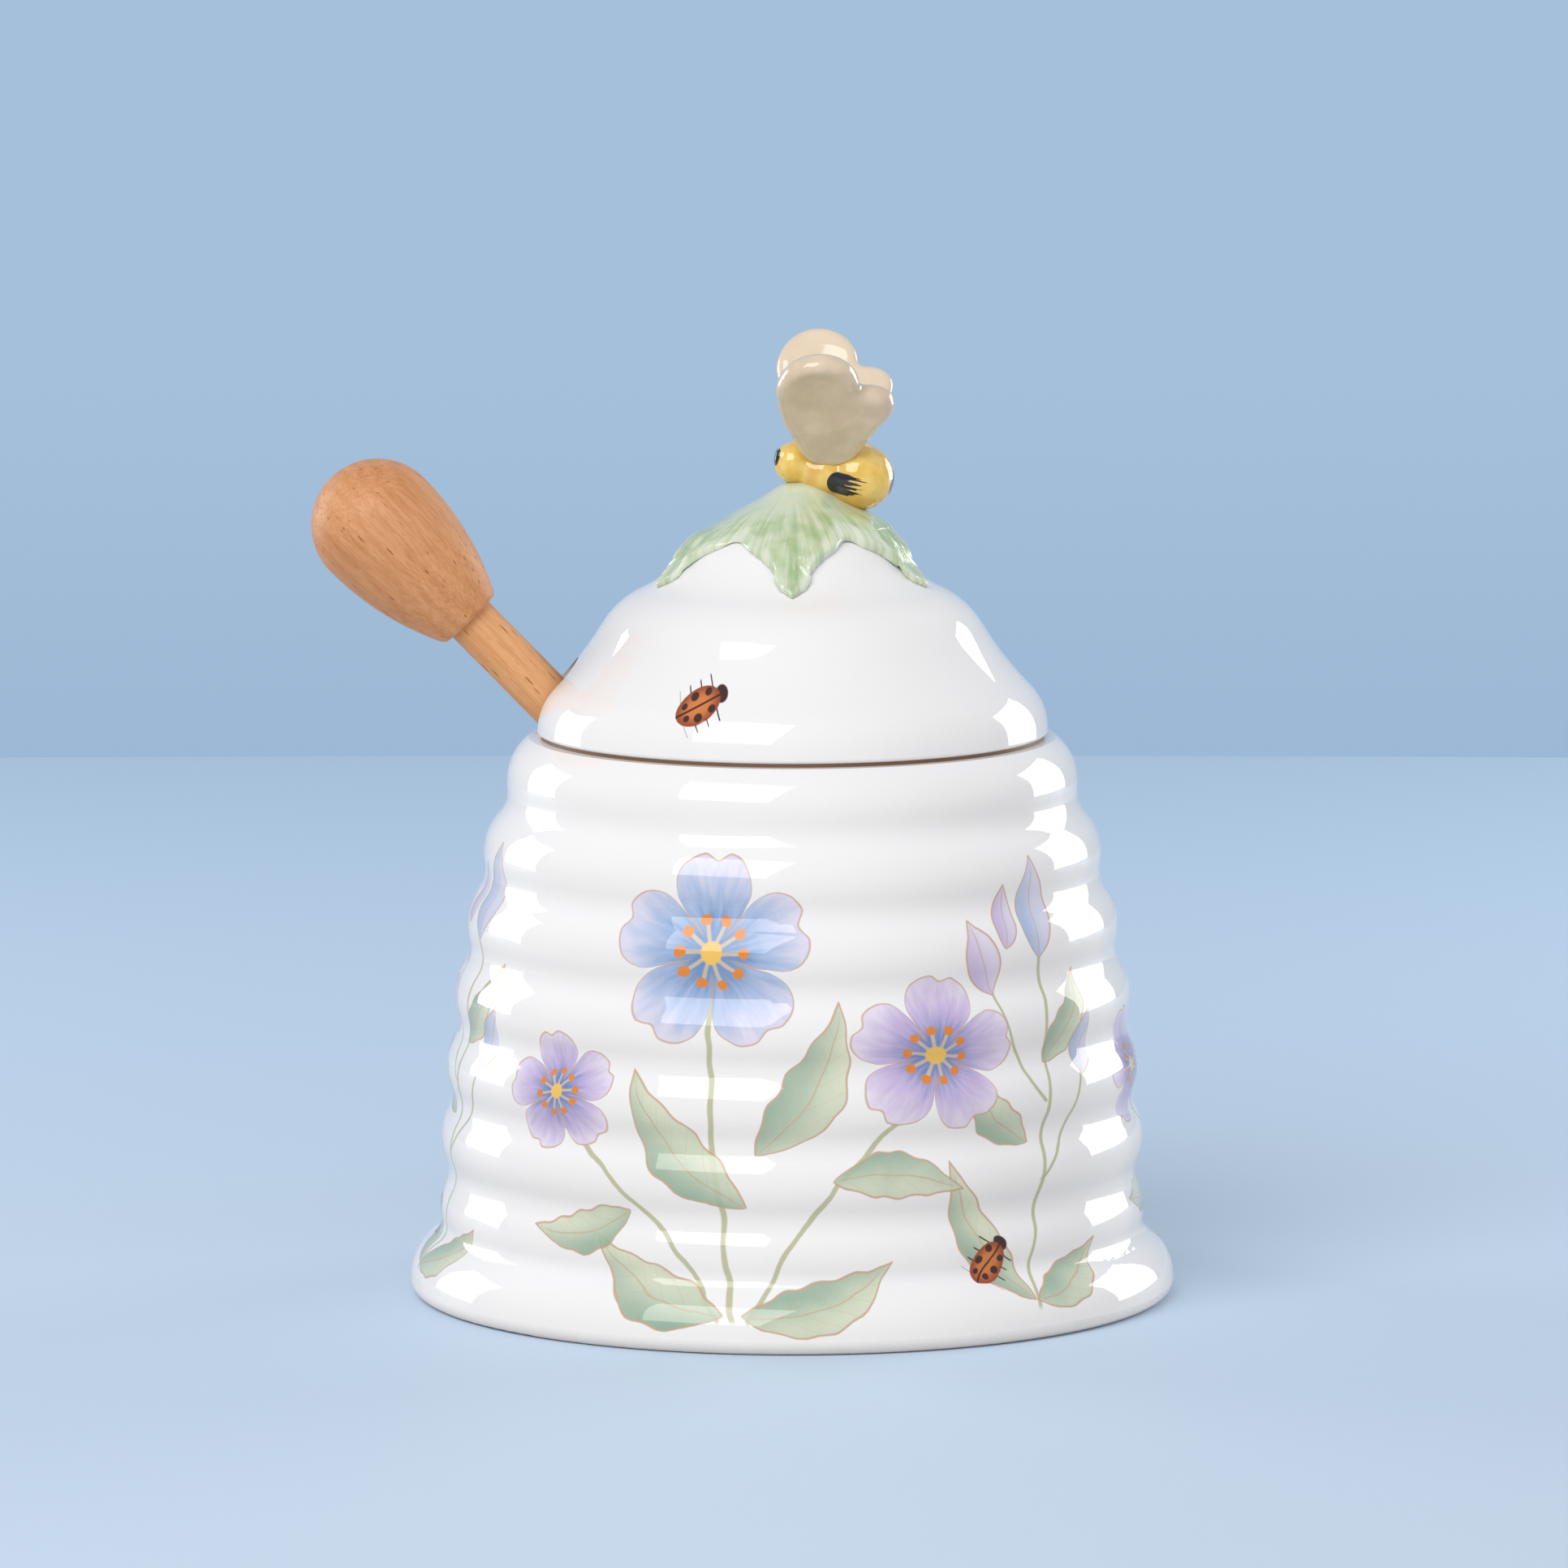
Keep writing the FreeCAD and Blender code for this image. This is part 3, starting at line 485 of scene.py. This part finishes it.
# %% [markdown]
# ## The green of the print
# What lies lower is painted first: stems, then the leaves on them. Each row gives the root and the
# tip in millimetres on the unrolled wall, with how far the stem bows or the leaf bends.

# %% Paint stems and leaves
SAGE, MOSS = colour(221, 226, 200), colour(139, 171, 148)
STEM = colour(186, 188, 148)
LEAF_VEINS = 7
coat = plain
for root, tip, bow, width in (
    ((-8, 5), (-13, 56), 0.10, 0.55),
    ((-6, 5), (21, 40), 0.22, 0.5),
    ((-10, 5), (-37, 33), -0.24, 0.45),
    ((36, 5), (44, 60), -0.12, 0.45),
    ((41.5, 36), (33.5, 54), 0.18, 0.35),
    ((40, 24), (51, 40), -0.2, 0.35),
):
    coat = paint_stem(coat, u, v, root, tip, bow, width, STEM)
for root, tip, width, bend in (
    ((-9, 6), (-30, 17), 0.17, 0.5),
    ((-7, 6), (15, 14), 0.16, -0.5),
    ((36, 6), (24, 29), 0.13, 0.35),
    ((36, 6), (52, 14), 0.16, -0.4),
    ((-7, 22), (-25, 43), 0.16, 0.4),
    ((-5.5, 30), (7, 54), 0.17, -0.45),
    ((6, 26), (26, 24), 0.18, 0.4),
    ((-24, 21), (-42, 17), 0.18, 0.5),
    ((38.5, 30), (27, 42), 0.19, 0.4),
    ((42, 42), (53, 56), 0.18, -0.4),
):
    coat = paint_leaf(coat, u, v, mottle, root, tip, width, SAGE, MOSS, bend, LEAF_VEINS)
print("pot nodes with the green:", len(pot_paint.node_tree.nodes))

# %% [markdown]
# ## The flowers of the print
# Buds and blossoms lie over the green. The inside of the pot is plain, so the print is kept to
# points that lie further out than the middle of the wall, which narrows upwards as the hive does.

# %% Paint buds and blossoms
BLUE, SKY, MIST = colour(66, 126, 186), colour(160, 184, 224), colour(229, 224, 243)
PLUM, LILAC, BLUSH = colour(84, 118, 188), colour(192, 174, 220), colour(235, 227, 245)
WALL_MIDDLE, WIDEST_HEIGHT, HIVE_CURVE = 52.5, 13.5, 466
WALL_BLEND = 0.3
for root, tip, width, deep in (
    ((44, 58), (45, 74), 0.24, SKY),
    ((33.5, 53), (30, 65), 0.25, LILAC),
    ((51, 39), (55, 50), 0.26, SKY),
    ((36, 60), (38, 70), 0.25, LILAC),
):
    coat = paint_leaf(coat, u, v, mottle, root, tip, width, MIST, deep)
for centre, radius, turn, tilt, tones in (
    ((-38, 38), 10.5, 0.1, 0.9, (PLUM, LILAC, BLUSH)),
    ((22, 45), 14.0, 0.35, 0.86, (PLUM, LILAC, BLUSH)),
    ((-13, 61), 16.5, 0.25, 0.92, (BLUE, SKY, MIST)),
):
    coat = paint_blossom(coat, u, v, mottle, centre, radius, turn, tilt, *tones)
coat = paint_ladybird(coat, u, v, (27.5, 9.5), (32.0, 15.5))

wall_middle = WALL_MIDDLE - (z - WIDEST_HEIGHT) * (z - WIDEST_HEIGHT) / HIVE_CURVE
outside = ((x * x + y * y).root() - wall_middle).rise(-WALL_BLEND, WALL_BLEND)
feed(outside.mix(plain, coat), pot_shader, "Base Color")
coat_with(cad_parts["pot_body"], pot_paint)
print("pot nodes:", len(pot_paint.node_tree.nodes))

# %% [markdown]
# ## The lid
# The lid is glazed like the pot and has a small ladybird on the left of its front, which comes
# back with each third of a turn. The ledge on which it rests is wiped before firing, so the narrow
# seam above the rim is bare and rough; its dark brown is painted shadow. The inside is plain here
# too.

# %% Glaze and paint the lid
LID_PRINT_RADIUS, LID_PRINT_TURN = 38, 0.19
LID_WALL_FOOT, LID_WALL_MIDDLE, LID_SLOPE, LID_CURVE = 91, 35.8, 0.33, 0.0157
SEAM_HEIGHT = 89.15
SEAM_SHADOW_BROWN = colour(122, 88, 58)
lid_paint, lid_shader, (x, y, z), mottle, plain = porcelain("painted_lid")
u, v = unrolled(x, y, z, CLUMPS, LID_PRINT_RADIUS, LID_PRINT_TURN)
coat = paint_ladybird(plain, u, v, (-3.5, 95.5), (3.5, 99.5))
climb = z - LID_WALL_FOOT
wall_middle = LID_WALL_MIDDLE - climb * LID_SLOPE - climb * climb * LID_CURVE
outside = ((x * x + y * y).root() - wall_middle).rise(-WALL_BLEND, WALL_BLEND)
coat = outside.mix(plain, coat)
# the seam band is bare, rough clay, and its dark brown colour is painted shadow
bare = z.rise(SEAM_HEIGHT, SEAM_HEIGHT - 0.15) * z.rise(SEAM_HEIGHT - 1.2, SEAM_HEIGHT - 0.9)
feed(bare.mix(coat, SEAM_SHADOW_BROWN), lid_shader, "Base Color")
feed(bare * 0.5 + GLAZE_ROUGHNESS, lid_shader, "Roughness")
coat_with(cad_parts["lid_dome"], lid_paint)
print("lid nodes:", len(lid_paint.node_tree.nodes))

# %% [markdown]
# ## Modelling soft clay
# Leaves, bee and wings are pressed and joined by hand while the clay is soft, so nothing on them
# is crisp. A copy of the CAD solid is a sound start: its loose triangles are merged, a voxel
# remesh turns it into an even skin, and smoothing rounds every edge as the glaze does.

# %% Helpers for soft clay
MERGE = 0.002 * MM


def only(thing):
    bpy.ops.object.select_all(action="DESELECT")
    thing.select_set(True)
    bpy.context.view_layer.objects.active = thing


def apply_modifier(thing, kind, **settings):
    only(thing)
    modifier = thing.modifiers.new(kind.lower(), kind)
    for name, value in settings.items():
        setattr(modifier, name, value)
    bpy.ops.object.modifier_apply(modifier=modifier.name)


def rub(piece, rounds, **settings):
    """Smooth the clay, with a few light rounds or many."""
    apply_modifier(piece, "SMOOTH", factor=0.5, iterations=rounds, **settings)


def clay_copy(node, name):
    """A merged copy of a CAD node, ready to be worked."""
    only(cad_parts[node])
    bpy.ops.object.duplicate()
    piece = bpy.context.object
    piece.name = piece.data.name = name
    for key in list(piece.keys()):
        del piece[key]
    piece.parent = None
    bpy.ops.object.mode_set(mode="EDIT")
    bpy.ops.mesh.select_all(action="SELECT")
    bpy.ops.mesh.remove_doubles(threshold=MERGE)
    bpy.ops.mesh.customdata_custom_splitnormals_clear()
    bpy.ops.object.mode_set(mode="OBJECT")
    return piece


print("to work again:", [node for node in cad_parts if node.startswith(("leaf", "bee"))])

# %% [markdown]
# ## Pressing and finishing
# Rubbing smooths all of the clay alike, and pressing moves each point by a rule of its own. It
# could be sculpted by hand instead, but a rule gives the same piece on every run. At the end a
# piece is painted, rides on its body and stands for its CAD node.

# %% Helpers to press and finish
def work_clay(piece, voxel, rounds):
    """Give the piece an even skin and rub its edges round."""
    apply_modifier(piece, "REMESH", mode="VOXEL", voxel_size=voxel * MM)
    rub(piece, rounds)


def press(piece, shift):
    """Move every point of the clay by what `shift` says of its place and normal, in millimetres."""
    mesh = piece.data
    moves = [shift(vertex.co / MM, vertex.normal) for vertex in mesh.vertices]
    for vertex, move in zip(mesh.vertices, moves):
        vertex.co += move * MM
    mesh.update()


def share_of(value, start, length):
    """How far a value has come on its way from `start`, from 0 to 1."""
    return min(1.0, max(0.0, (value - start) / length))


def finish_piece(piece, body, node, material, levels=1):
    """Smooth the piece, paint it, and let it stand for its CAD node."""
    if levels:
        apply_modifier(piece, "SUBSURF", levels=levels, render_levels=levels)
    only(piece)
    bpy.ops.object.shade_smooth()
    coat_with(piece, material)
    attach(piece, body)
    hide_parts(node)
    print(piece.name, len(piece.data.polygons), "faces")


print("from 2 to 6, the value 4 has come", share_of(4, 2, 4), "of its way")

# %% [markdown]
# ## The mound under the bee
# The leaves rise in the middle to a mound that carries the bee. The CAD calyx has it as a plain
# cone. Here the upper skin is lifted to a profile that was read off the photograph, and then
# rubbed until the mound flows into the leaves.

# %% Raise the mound
MOUND_X = 1.5
MOUND_REACH, MOUND_EDGE, MOUND_BLEND = 17.0, 13.5, 4
MOUND_PROFILE = ((0, 129.3), (3.4, 128.5), (6.4, 126.3),
                 (10.7, 124.1), (13.1, 122.6), (16.4, 120.2))
CROWN_CENTRE, CROWN_ROUND = (7.4, 110.5), 12.0
CROWN_SKIN = 0.4


def crown_height(reach):
    """The top of the lid's dome under the leaves."""
    past = max(0.0, reach - CROWN_CENTRE[0])
    return CROWN_CENTRE[1] + math.sqrt(max(0.0, CROWN_ROUND ** 2 - past ** 2))


def mound_height(out):
    """The profile of the mound, from its middle outwards."""
    for (near, high), (far, low) in zip(MOUND_PROFILE, MOUND_PROFILE[1:]):
        if out <= far:
            return high + (low - high) * (out - near) / (far - near)
    return MOUND_PROFILE[-1][1]


def raise_mound(point, normal):
    """Lift the upper skin to the profile, and leave the underside on the lid."""
    if point.z < crown_height(math.hypot(point.x, point.y)) + CROWN_SKIN:
        return Vector((0, 0, 0))
    out = math.hypot(point.x - MOUND_X, point.y)
    share = 1 - share_of(out, MOUND_EDGE, MOUND_BLEND)
    return Vector((0, 0, (mound_height(out) - point.z) * share))


leaves = clay_copy("leaf_calyx", "leaf_crown")
work_clay(leaves, 0.3, 4)
press(leaves, raise_mound)
mound = leaves.vertex_groups.new(name="mound")
mound.add([vertex.index for vertex in leaves.data.vertices
           if math.hypot(vertex.co.x, vertex.co.y) < MOUND_REACH * MM], 1.0, "REPLACE")
rub(leaves, 30, vertex_group=mound.name)
print("mound to", round(max(vertex.co.z for vertex in leaves.data.vertices) / MM, 1), "mm")

# %% [markdown]
# ## The leaves
# Five leaves lie on the crown like the calyx of a flower. Pressing does all of it: each point
# moves round the crown, to wave the edge and draw the leaf to a point, and along its normal, for
# the pressed midrib, the side veins, the valleys between the leaves and the thin rim.

# %% Shape the leaves
LEAF_COUNT = 5
LEAF_STEP = FULL_TURN / LEAF_COUNT
FRONT = -math.pi / 2
LEAF_REACH = 22.5
LEAF_TAPER = 0.75


def leaf_angle(x, y):
    """How far a point is from the middle of its own leaf, as an angle."""
    return (math.atan2(y, x) - FRONT + LEAF_STEP / 2) % LEAF_STEP - LEAF_STEP / 2


def shape_leaf(point, normal):
    """Wave and point the leaf, and press its rib, veins, valleys and rim."""
    reach = math.hypot(point.x, point.y)
    aside = leaf_angle(point.x, point.y)
    across = abs(aside) * reach
    between = (LEAF_STEP / 2 - abs(aside)) * reach
    from_edge = (LEAF_REACH - reach) * LEAF_TAPER - across
    grown = share_of(reach, 11, 4)
    wave = 0.09 * math.sin((reach - 14.2) * FULL_TURN / 5.0) * grown
    point_it = -0.56 * share_of(reach, 14.0, 4.5)
    rib = -0.18 * math.exp(-(across / 0.6) ** 2)
    valley = -0.4 * math.exp(-(between / 1.5) ** 2)
    veins = 0.05 * math.sin((reach - across * 0.9) * FULL_TURN / 2.8) * min(1.0, across / 1.5)
    thin = -0.34 * (1 - share_of(from_edge, 0.6, 2.4)) * max(0.0, normal.z)
    around = Vector((-point.y, point.x, 0)) * aside * (wave + point_it)
    return around + normal * (0.2 + rib + valley + veins + thin) * grown


press(leaves, shape_leaf)
rub(leaves, 3)
print("leaves reach", round(max(vertex.co.x for vertex in leaves.data.vertices) / MM, 1), "mm")

# %% [markdown]
# ## The green glaze
# The green is brushed on from the middle outwards, so it is streaky, pale on the mound, deeper in
# the midribs, and thin at the edges, where the white body shows. The strokes are noise on the
# direction from the middle, as a unit ray: an angle would leave a seam where it jumps from one
# turn to the next.

# %% Paint the leaves
LEAF_PALE, LEAF_GREEN = colour(216, 226, 198), colour(162, 188, 134)
RIB_GREEN, MOUND_GREEN = colour(144, 174, 116), colour(212, 223, 200)
EDGE_WHITE = colour(230, 236, 220)
leaf_paint, leaf_shader, pen = new_material("brushed_leaf_glaze", 0.06, 0.6)
x, y, z = place_in_mm(pen)
reach = (x * x + y * y).root()
ray_x, ray_y = x / reach, y / reach
broad = noise(ray_x * 7, ray_y * 7, reach * 0.05, 1.7, 2)
fine = noise(ray_x * 22, ray_y * 22, reach * 0.09, 2.4, 3)
strokes = broad * 0.6 + fine * 0.4
pools = noise(x, y, z, 0.3, 2)
turned = (y.turn_to(x) - FRONT) * (1 / LEAF_STEP) + 10.5
fold = abs(turned.fraction() - 0.5) * reach * LEAF_STEP
tone = strokes.rise(0.36, 0.64) * 0.55 + pools.rise(0.35, 0.65) * 0.45
green = tone.mix(LEAF_PALE, LEAF_GREEN)
green = (fold.rise(1.2, 0.1) * reach.rise(12, 16) * 0.3).mix(green, RIB_GREEN)
green = (reach.rise(12, 5) * 0.75).mix(green, MOUND_GREEN)
from_edge = (LEAF_REACH - reach) * LEAF_TAPER - fold
thin = from_edge.rise(1.3, -0.2) * (1 - strokes.rise(0.4, 0.6) * 0.6)
feed((thin * 0.7).mix(green, EDGE_WHITE), leaf_shader, "Base Color")
bump(fine, leaf_shader, 0.08, 0.0003)
finish_piece(leaves, "lid", "leaf_calyx", leaf_paint, levels=0)

# %% [markdown]
# ## The bee
# The bee is one plump body: head, thorax and abdomen run into each other, with a raised eye on
# each side of the head. Balls are added at their sizes, joined, and worked together as one lump of
# clay.

# %% Shape the bee
BEE_PITCH = math.radians(12)
BEE_NOSE = Vector((6.6 - 9.7 * math.cos(BEE_PITCH), 0, 132.5))
BEE_TURN = Matrix.Rotation(BEE_PITCH, 3, "Y")
BEE_BALLS = (
    ((3.4, 0, 0), (3.4, 3.4, 3.4)),
    ((8.6, 0, -0.5), (5.2, 4.2, 3.9)),
    ((13.8, 0, 0), (5.5, 5.2, 5.3)),
    ((5.8, 0, -0.1), (3.4, 3.3, 3.2)),
    ((0.75, -1.35, 0.45), (0.8, 1.15, 1.55)),
    ((0.75, 1.35, 0.45), (0.8, 1.15, 1.55)),
)
bee_parts = []
for place, size in BEE_BALLS:
    bpy.ops.object.select_all(action="DESELECT")
    bpy.ops.mesh.primitive_uv_sphere_add(
        segments=48, ring_count=24, radius=MM, location=(BEE_NOSE + BEE_TURN @ Vector(place)) * MM,
        rotation=(0, BEE_PITCH, 0), scale=size)
    bee_parts.append(bpy.context.object)
for part in bee_parts:
    part.select_set(True)
bpy.context.view_layer.objects.active = bee_parts[0]
bpy.ops.object.join()
bpy.ops.object.transform_apply(location=True, rotation=True, scale=True)
bee = bpy.context.object
bee.name = bee.data.name = "bee"
work_clay(bee, 0.26, 14)
print("bee is", [round(side / MM, 1) for side in bee.dimensions], "mm")

# %% [markdown]
# ## The honey glaze
# The glaze is honey yellow and gathers deeper in the creases; the same deeper tone on the underside
# is painted shade. A loaded brush left one black stroke on each flank, blunt where it was set down
# and split into bristles where it was lifted. Eyes and tail are black too. All of it is drawn in
# the bee's own frame: along it, and up from its axis.

# %% Paint the bee
HONEY_PALE, HONEY, HONEY_POOL_AND_SHADE = colour(248, 216, 122), colour(238, 194, 78), colour(214, 152, 34)
BRUSH_BLACK = colour(30, 20, 16)
STROKE_START, STROKE_END, STROKE_HALF, STROKE_DROP = 10.4, 13.6, 1.85, 1.35
bee_paint, bee_shader, pen = new_material("honey_glaze", 0.08, 0.7)
x, y, z = place_in_mm(pen)
cos_pitch, sin_pitch = math.cos(BEE_PITCH), math.sin(BEE_PITCH)
right, up = x - BEE_NOSE.x, z - BEE_NOSE.z
along = right * cos_pitch - up * sin_pitch
height = right * sin_pitch + up * cos_pitch
yellow = noise(x, y, z, 0.45, 3).rise(0.3, 0.7).mix(HONEY_PALE, HONEY)
crease = abs(along - 6.4).rise(1.5, 0.2).most(abs(along - 10.2).rise(1.3, 0.2) * 0.5)
# deeper honey where the glaze pools in the creases, and as painted shade on the underside
yellow = (crease.most(height.rise(-1.8, -3.4)) * 0.5).mix(yellow, HONEY_POOL_AND_SHADE)
bristle = noise(along * 0.12, y * 0.4, height, 2.6, 3)
blunt = (STROKE_START - along).most(0)
band = (1 - blunt * blunt * 0.4).most(0).root() * STROKE_HALF - abs(height + STROKE_DROP)
end = STROKE_END - along + (bristle - 0.5) * 9
stroke = band.rise(0, 0.25) * end.rise(0, 0.7)
eye_along, eye_side, eye_up = along - 0.3, abs(y) - 1.5, height - 0.45
eye = eye_along * eye_along * 0.8 + eye_side * eye_side * 0.7 + eye_up * eye_up * 0.38
tail = along.rise(18.65, 18.85)
black = stroke.most(eye.root().rise(0.95, 0.85)).most(tail)
feed(black.mix(yellow, BRUSH_BLACK), bee_shader, "Base Color")
finish_piece(bee, "lid", "bee_body", bee_paint)

# %% [markdown]
# ## The wing glaze
# The wings are glazed in a cloudy warm grey. The inner face of the far wing is turned to the light,
# so painted light turns the tone to cream towards the back.

# %% Mix the wing glaze
WING_WARM, WING_GREY = colour(229, 212, 187), colour(207, 188, 161)
WING_PAINTED_LIGHT = colour(238, 220, 194)
wing_paint, wing_shader, pen = new_material("wing_glaze", 0.1, 0.5)
x, y, z = place_in_mm(pen)
cloud = noise(x, y, z, 0.2, 3)
veil = noise(x, y, z * 0.3, 0.9, 3)
warm = (cloud.rise(0.3, 0.7) * 0.7 + veil * 0.3).mix(WING_WARM, WING_GREY)
# painted light: cream towards the back, where the far wing faces the light
feed((y.rise(2, 8) * 0.6).mix(warm, WING_PAINTED_LIGHT), wing_shader, "Base Color")
print("wing nodes:", len(wing_paint.node_tree.nodes))

# %% [markdown]
# ## The wings
# Two thick wings stand in a V on the bee's back. They are pressed slabs with a soft rolled edge,
# and their faces are slightly dished. The tips sweep back a little, and the near wing leans
# further out than the far one.

# %% Shape the wings
WING_LEAN = math.radians(34.5)
WING_MIDDLE = (3.9, 14.5)
WING_ROLL, WING_DISH, DISH_RADIUS = 0.3, 0.6, 7.0
WING_SHRINK = 0.02


def make_wing(node, name, side, sink):
    """Work one wing: swell its edge, dish its faces, sweep its tip and turn it on its root."""
    root_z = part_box(node)[0].z / MM
    root = Vector((0, side * 1.5, root_z + 1.5))
    flat = Vector((0, side * math.cos(WING_LEAN), -math.sin(WING_LEAN)))
    turn = Matrix.Rotation(-side * math.radians(sink), 3, "X")

    def dish(point, normal):
        up = (point.z - root_z) / math.cos(WING_LEAN)
        middle = math.hypot(point.x - WING_MIDDLE[0], up - WING_MIDDLE[1])
        hollow = max(0.0, 1 - (middle / DISH_RADIUS) ** 2) * normal.dot(flat) ** 2
        swell = normal * (WING_ROLL - WING_DISH * hollow)
        sweep = share_of(up, 9, 6)
        sweep -= 0.75 * math.exp(-((up - 12) / 6.5) ** 2) * max(0.0, 4 - point.x) / 4
        moved = point + swell + Vector((sweep, 0, -WING_SHRINK * up))
        return turn @ (moved - root) + root - point

    wing = clay_copy(node, name)
    work_clay(wing, 0.3, 5)
    press(wing, dish)
    rub(wing, 3)
    finish_piece(wing, "lid", node, wing_paint)


make_wing("bee_wing_left", "near_wing", -1, 6)
make_wing("bee_wing_right", "far_wing", 1, 0)

# %% [markdown]
# ## The dipper
# Knob, rod and head are turned beech, left bare. The CAD solids have the right shape, so the wood
# is all in the material: pale peach, with slow bands of growth rings and the short dark pores that
# beech shows along its grain. A Mapping node lays the grain along the dipper's axis, and noise and
# cells are drawn out in that direction by a small scale along it.

# %% Make the wood
DIPPER_TILT = math.radians(45.714)


def wood(name, pale, deep, pore, seed):
    """Bare beech, with another part of the grain for each seed."""
    paint, shader, pen = new_material(name, 0.5)
    shader.inputs["Specular IOR Level"].default_value = 0.3
    point = pen.node("ShaderNodeTexCoord", {}, {}, "Object")
    point = pen.node("ShaderNodeMapping", {"vector_type": "POINT"},
                     {"Vector": point, "Rotation": (0, math.pi / 2 - DIPPER_TILT, 0),
                      "Scale": (1 / MM, 1 / MM, 1 / MM), "Location": (seed, seed * 0.7, 0)})
    x, y, z = (point.node("ShaderNodeSeparateXYZ", {}, {0: point}, axis) for axis in range(3))
    sway = noise(x, y, z * 0.15, 0.12, 2)
    rings = abs(((x + 30 + sway * 7) * 0.42).fraction() - 0.5) * 2
    fibre = noise(x, y, z * 0.05, 2.6, 4)
    cloud = noise(x, y, z * 0.4, 0.16, 2)
    tone = (rings.rise(0.1, 1.0) * 0.25 + fibre.rise(0.34, 0.66) * 0.45
            + cloud.rise(0.3, 0.7) * 0.35)
    cells = point.node("ShaderNodeCombineXYZ", {}, {0: x, 1: y, 2: z * 0.13})
    coarse, fine = (cells.node("ShaderNodeTexVoronoi", {"feature": "F1"},
                               {"Vector": cells, "Scale": scale}) for scale in (1.15, 2.6))
    sparse = noise(x, y, z * 0.2, 0.35, 1).rise(0.36, 0.52)
    pores = (coarse.rise(0.2, 0.1) * sparse).most(fine.rise(0.24, 0.1) * 0.36)
    feed((pores * 0.75).mix(tone.mix(pale, deep), pore), shader, "Base Color")
    feed(pores * 0.2 + 0.48, shader, "Roughness")
    bump(fibre - pores, shader, 0.18, 0.0002)
    return paint


knob_wood = wood("turned_beech", colour(222, 164, 118), colour(197, 134, 86),
                 colour(132, 74, 38), 3.0)
rod_wood = wood("dowel_beech", colour(230, 174, 124), colour(206, 144, 92),
                colour(136, 78, 40), 19.0)
for node, paint in (("dipper_knob", knob_wood), ("dipper_shaft", rod_wood),
                    ("dipper_head", knob_wood)):
    coat_with(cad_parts[node], paint)
print("wood nodes:", len(knob_wood.node_tree.nodes))

# %% [markdown]
# ## The end
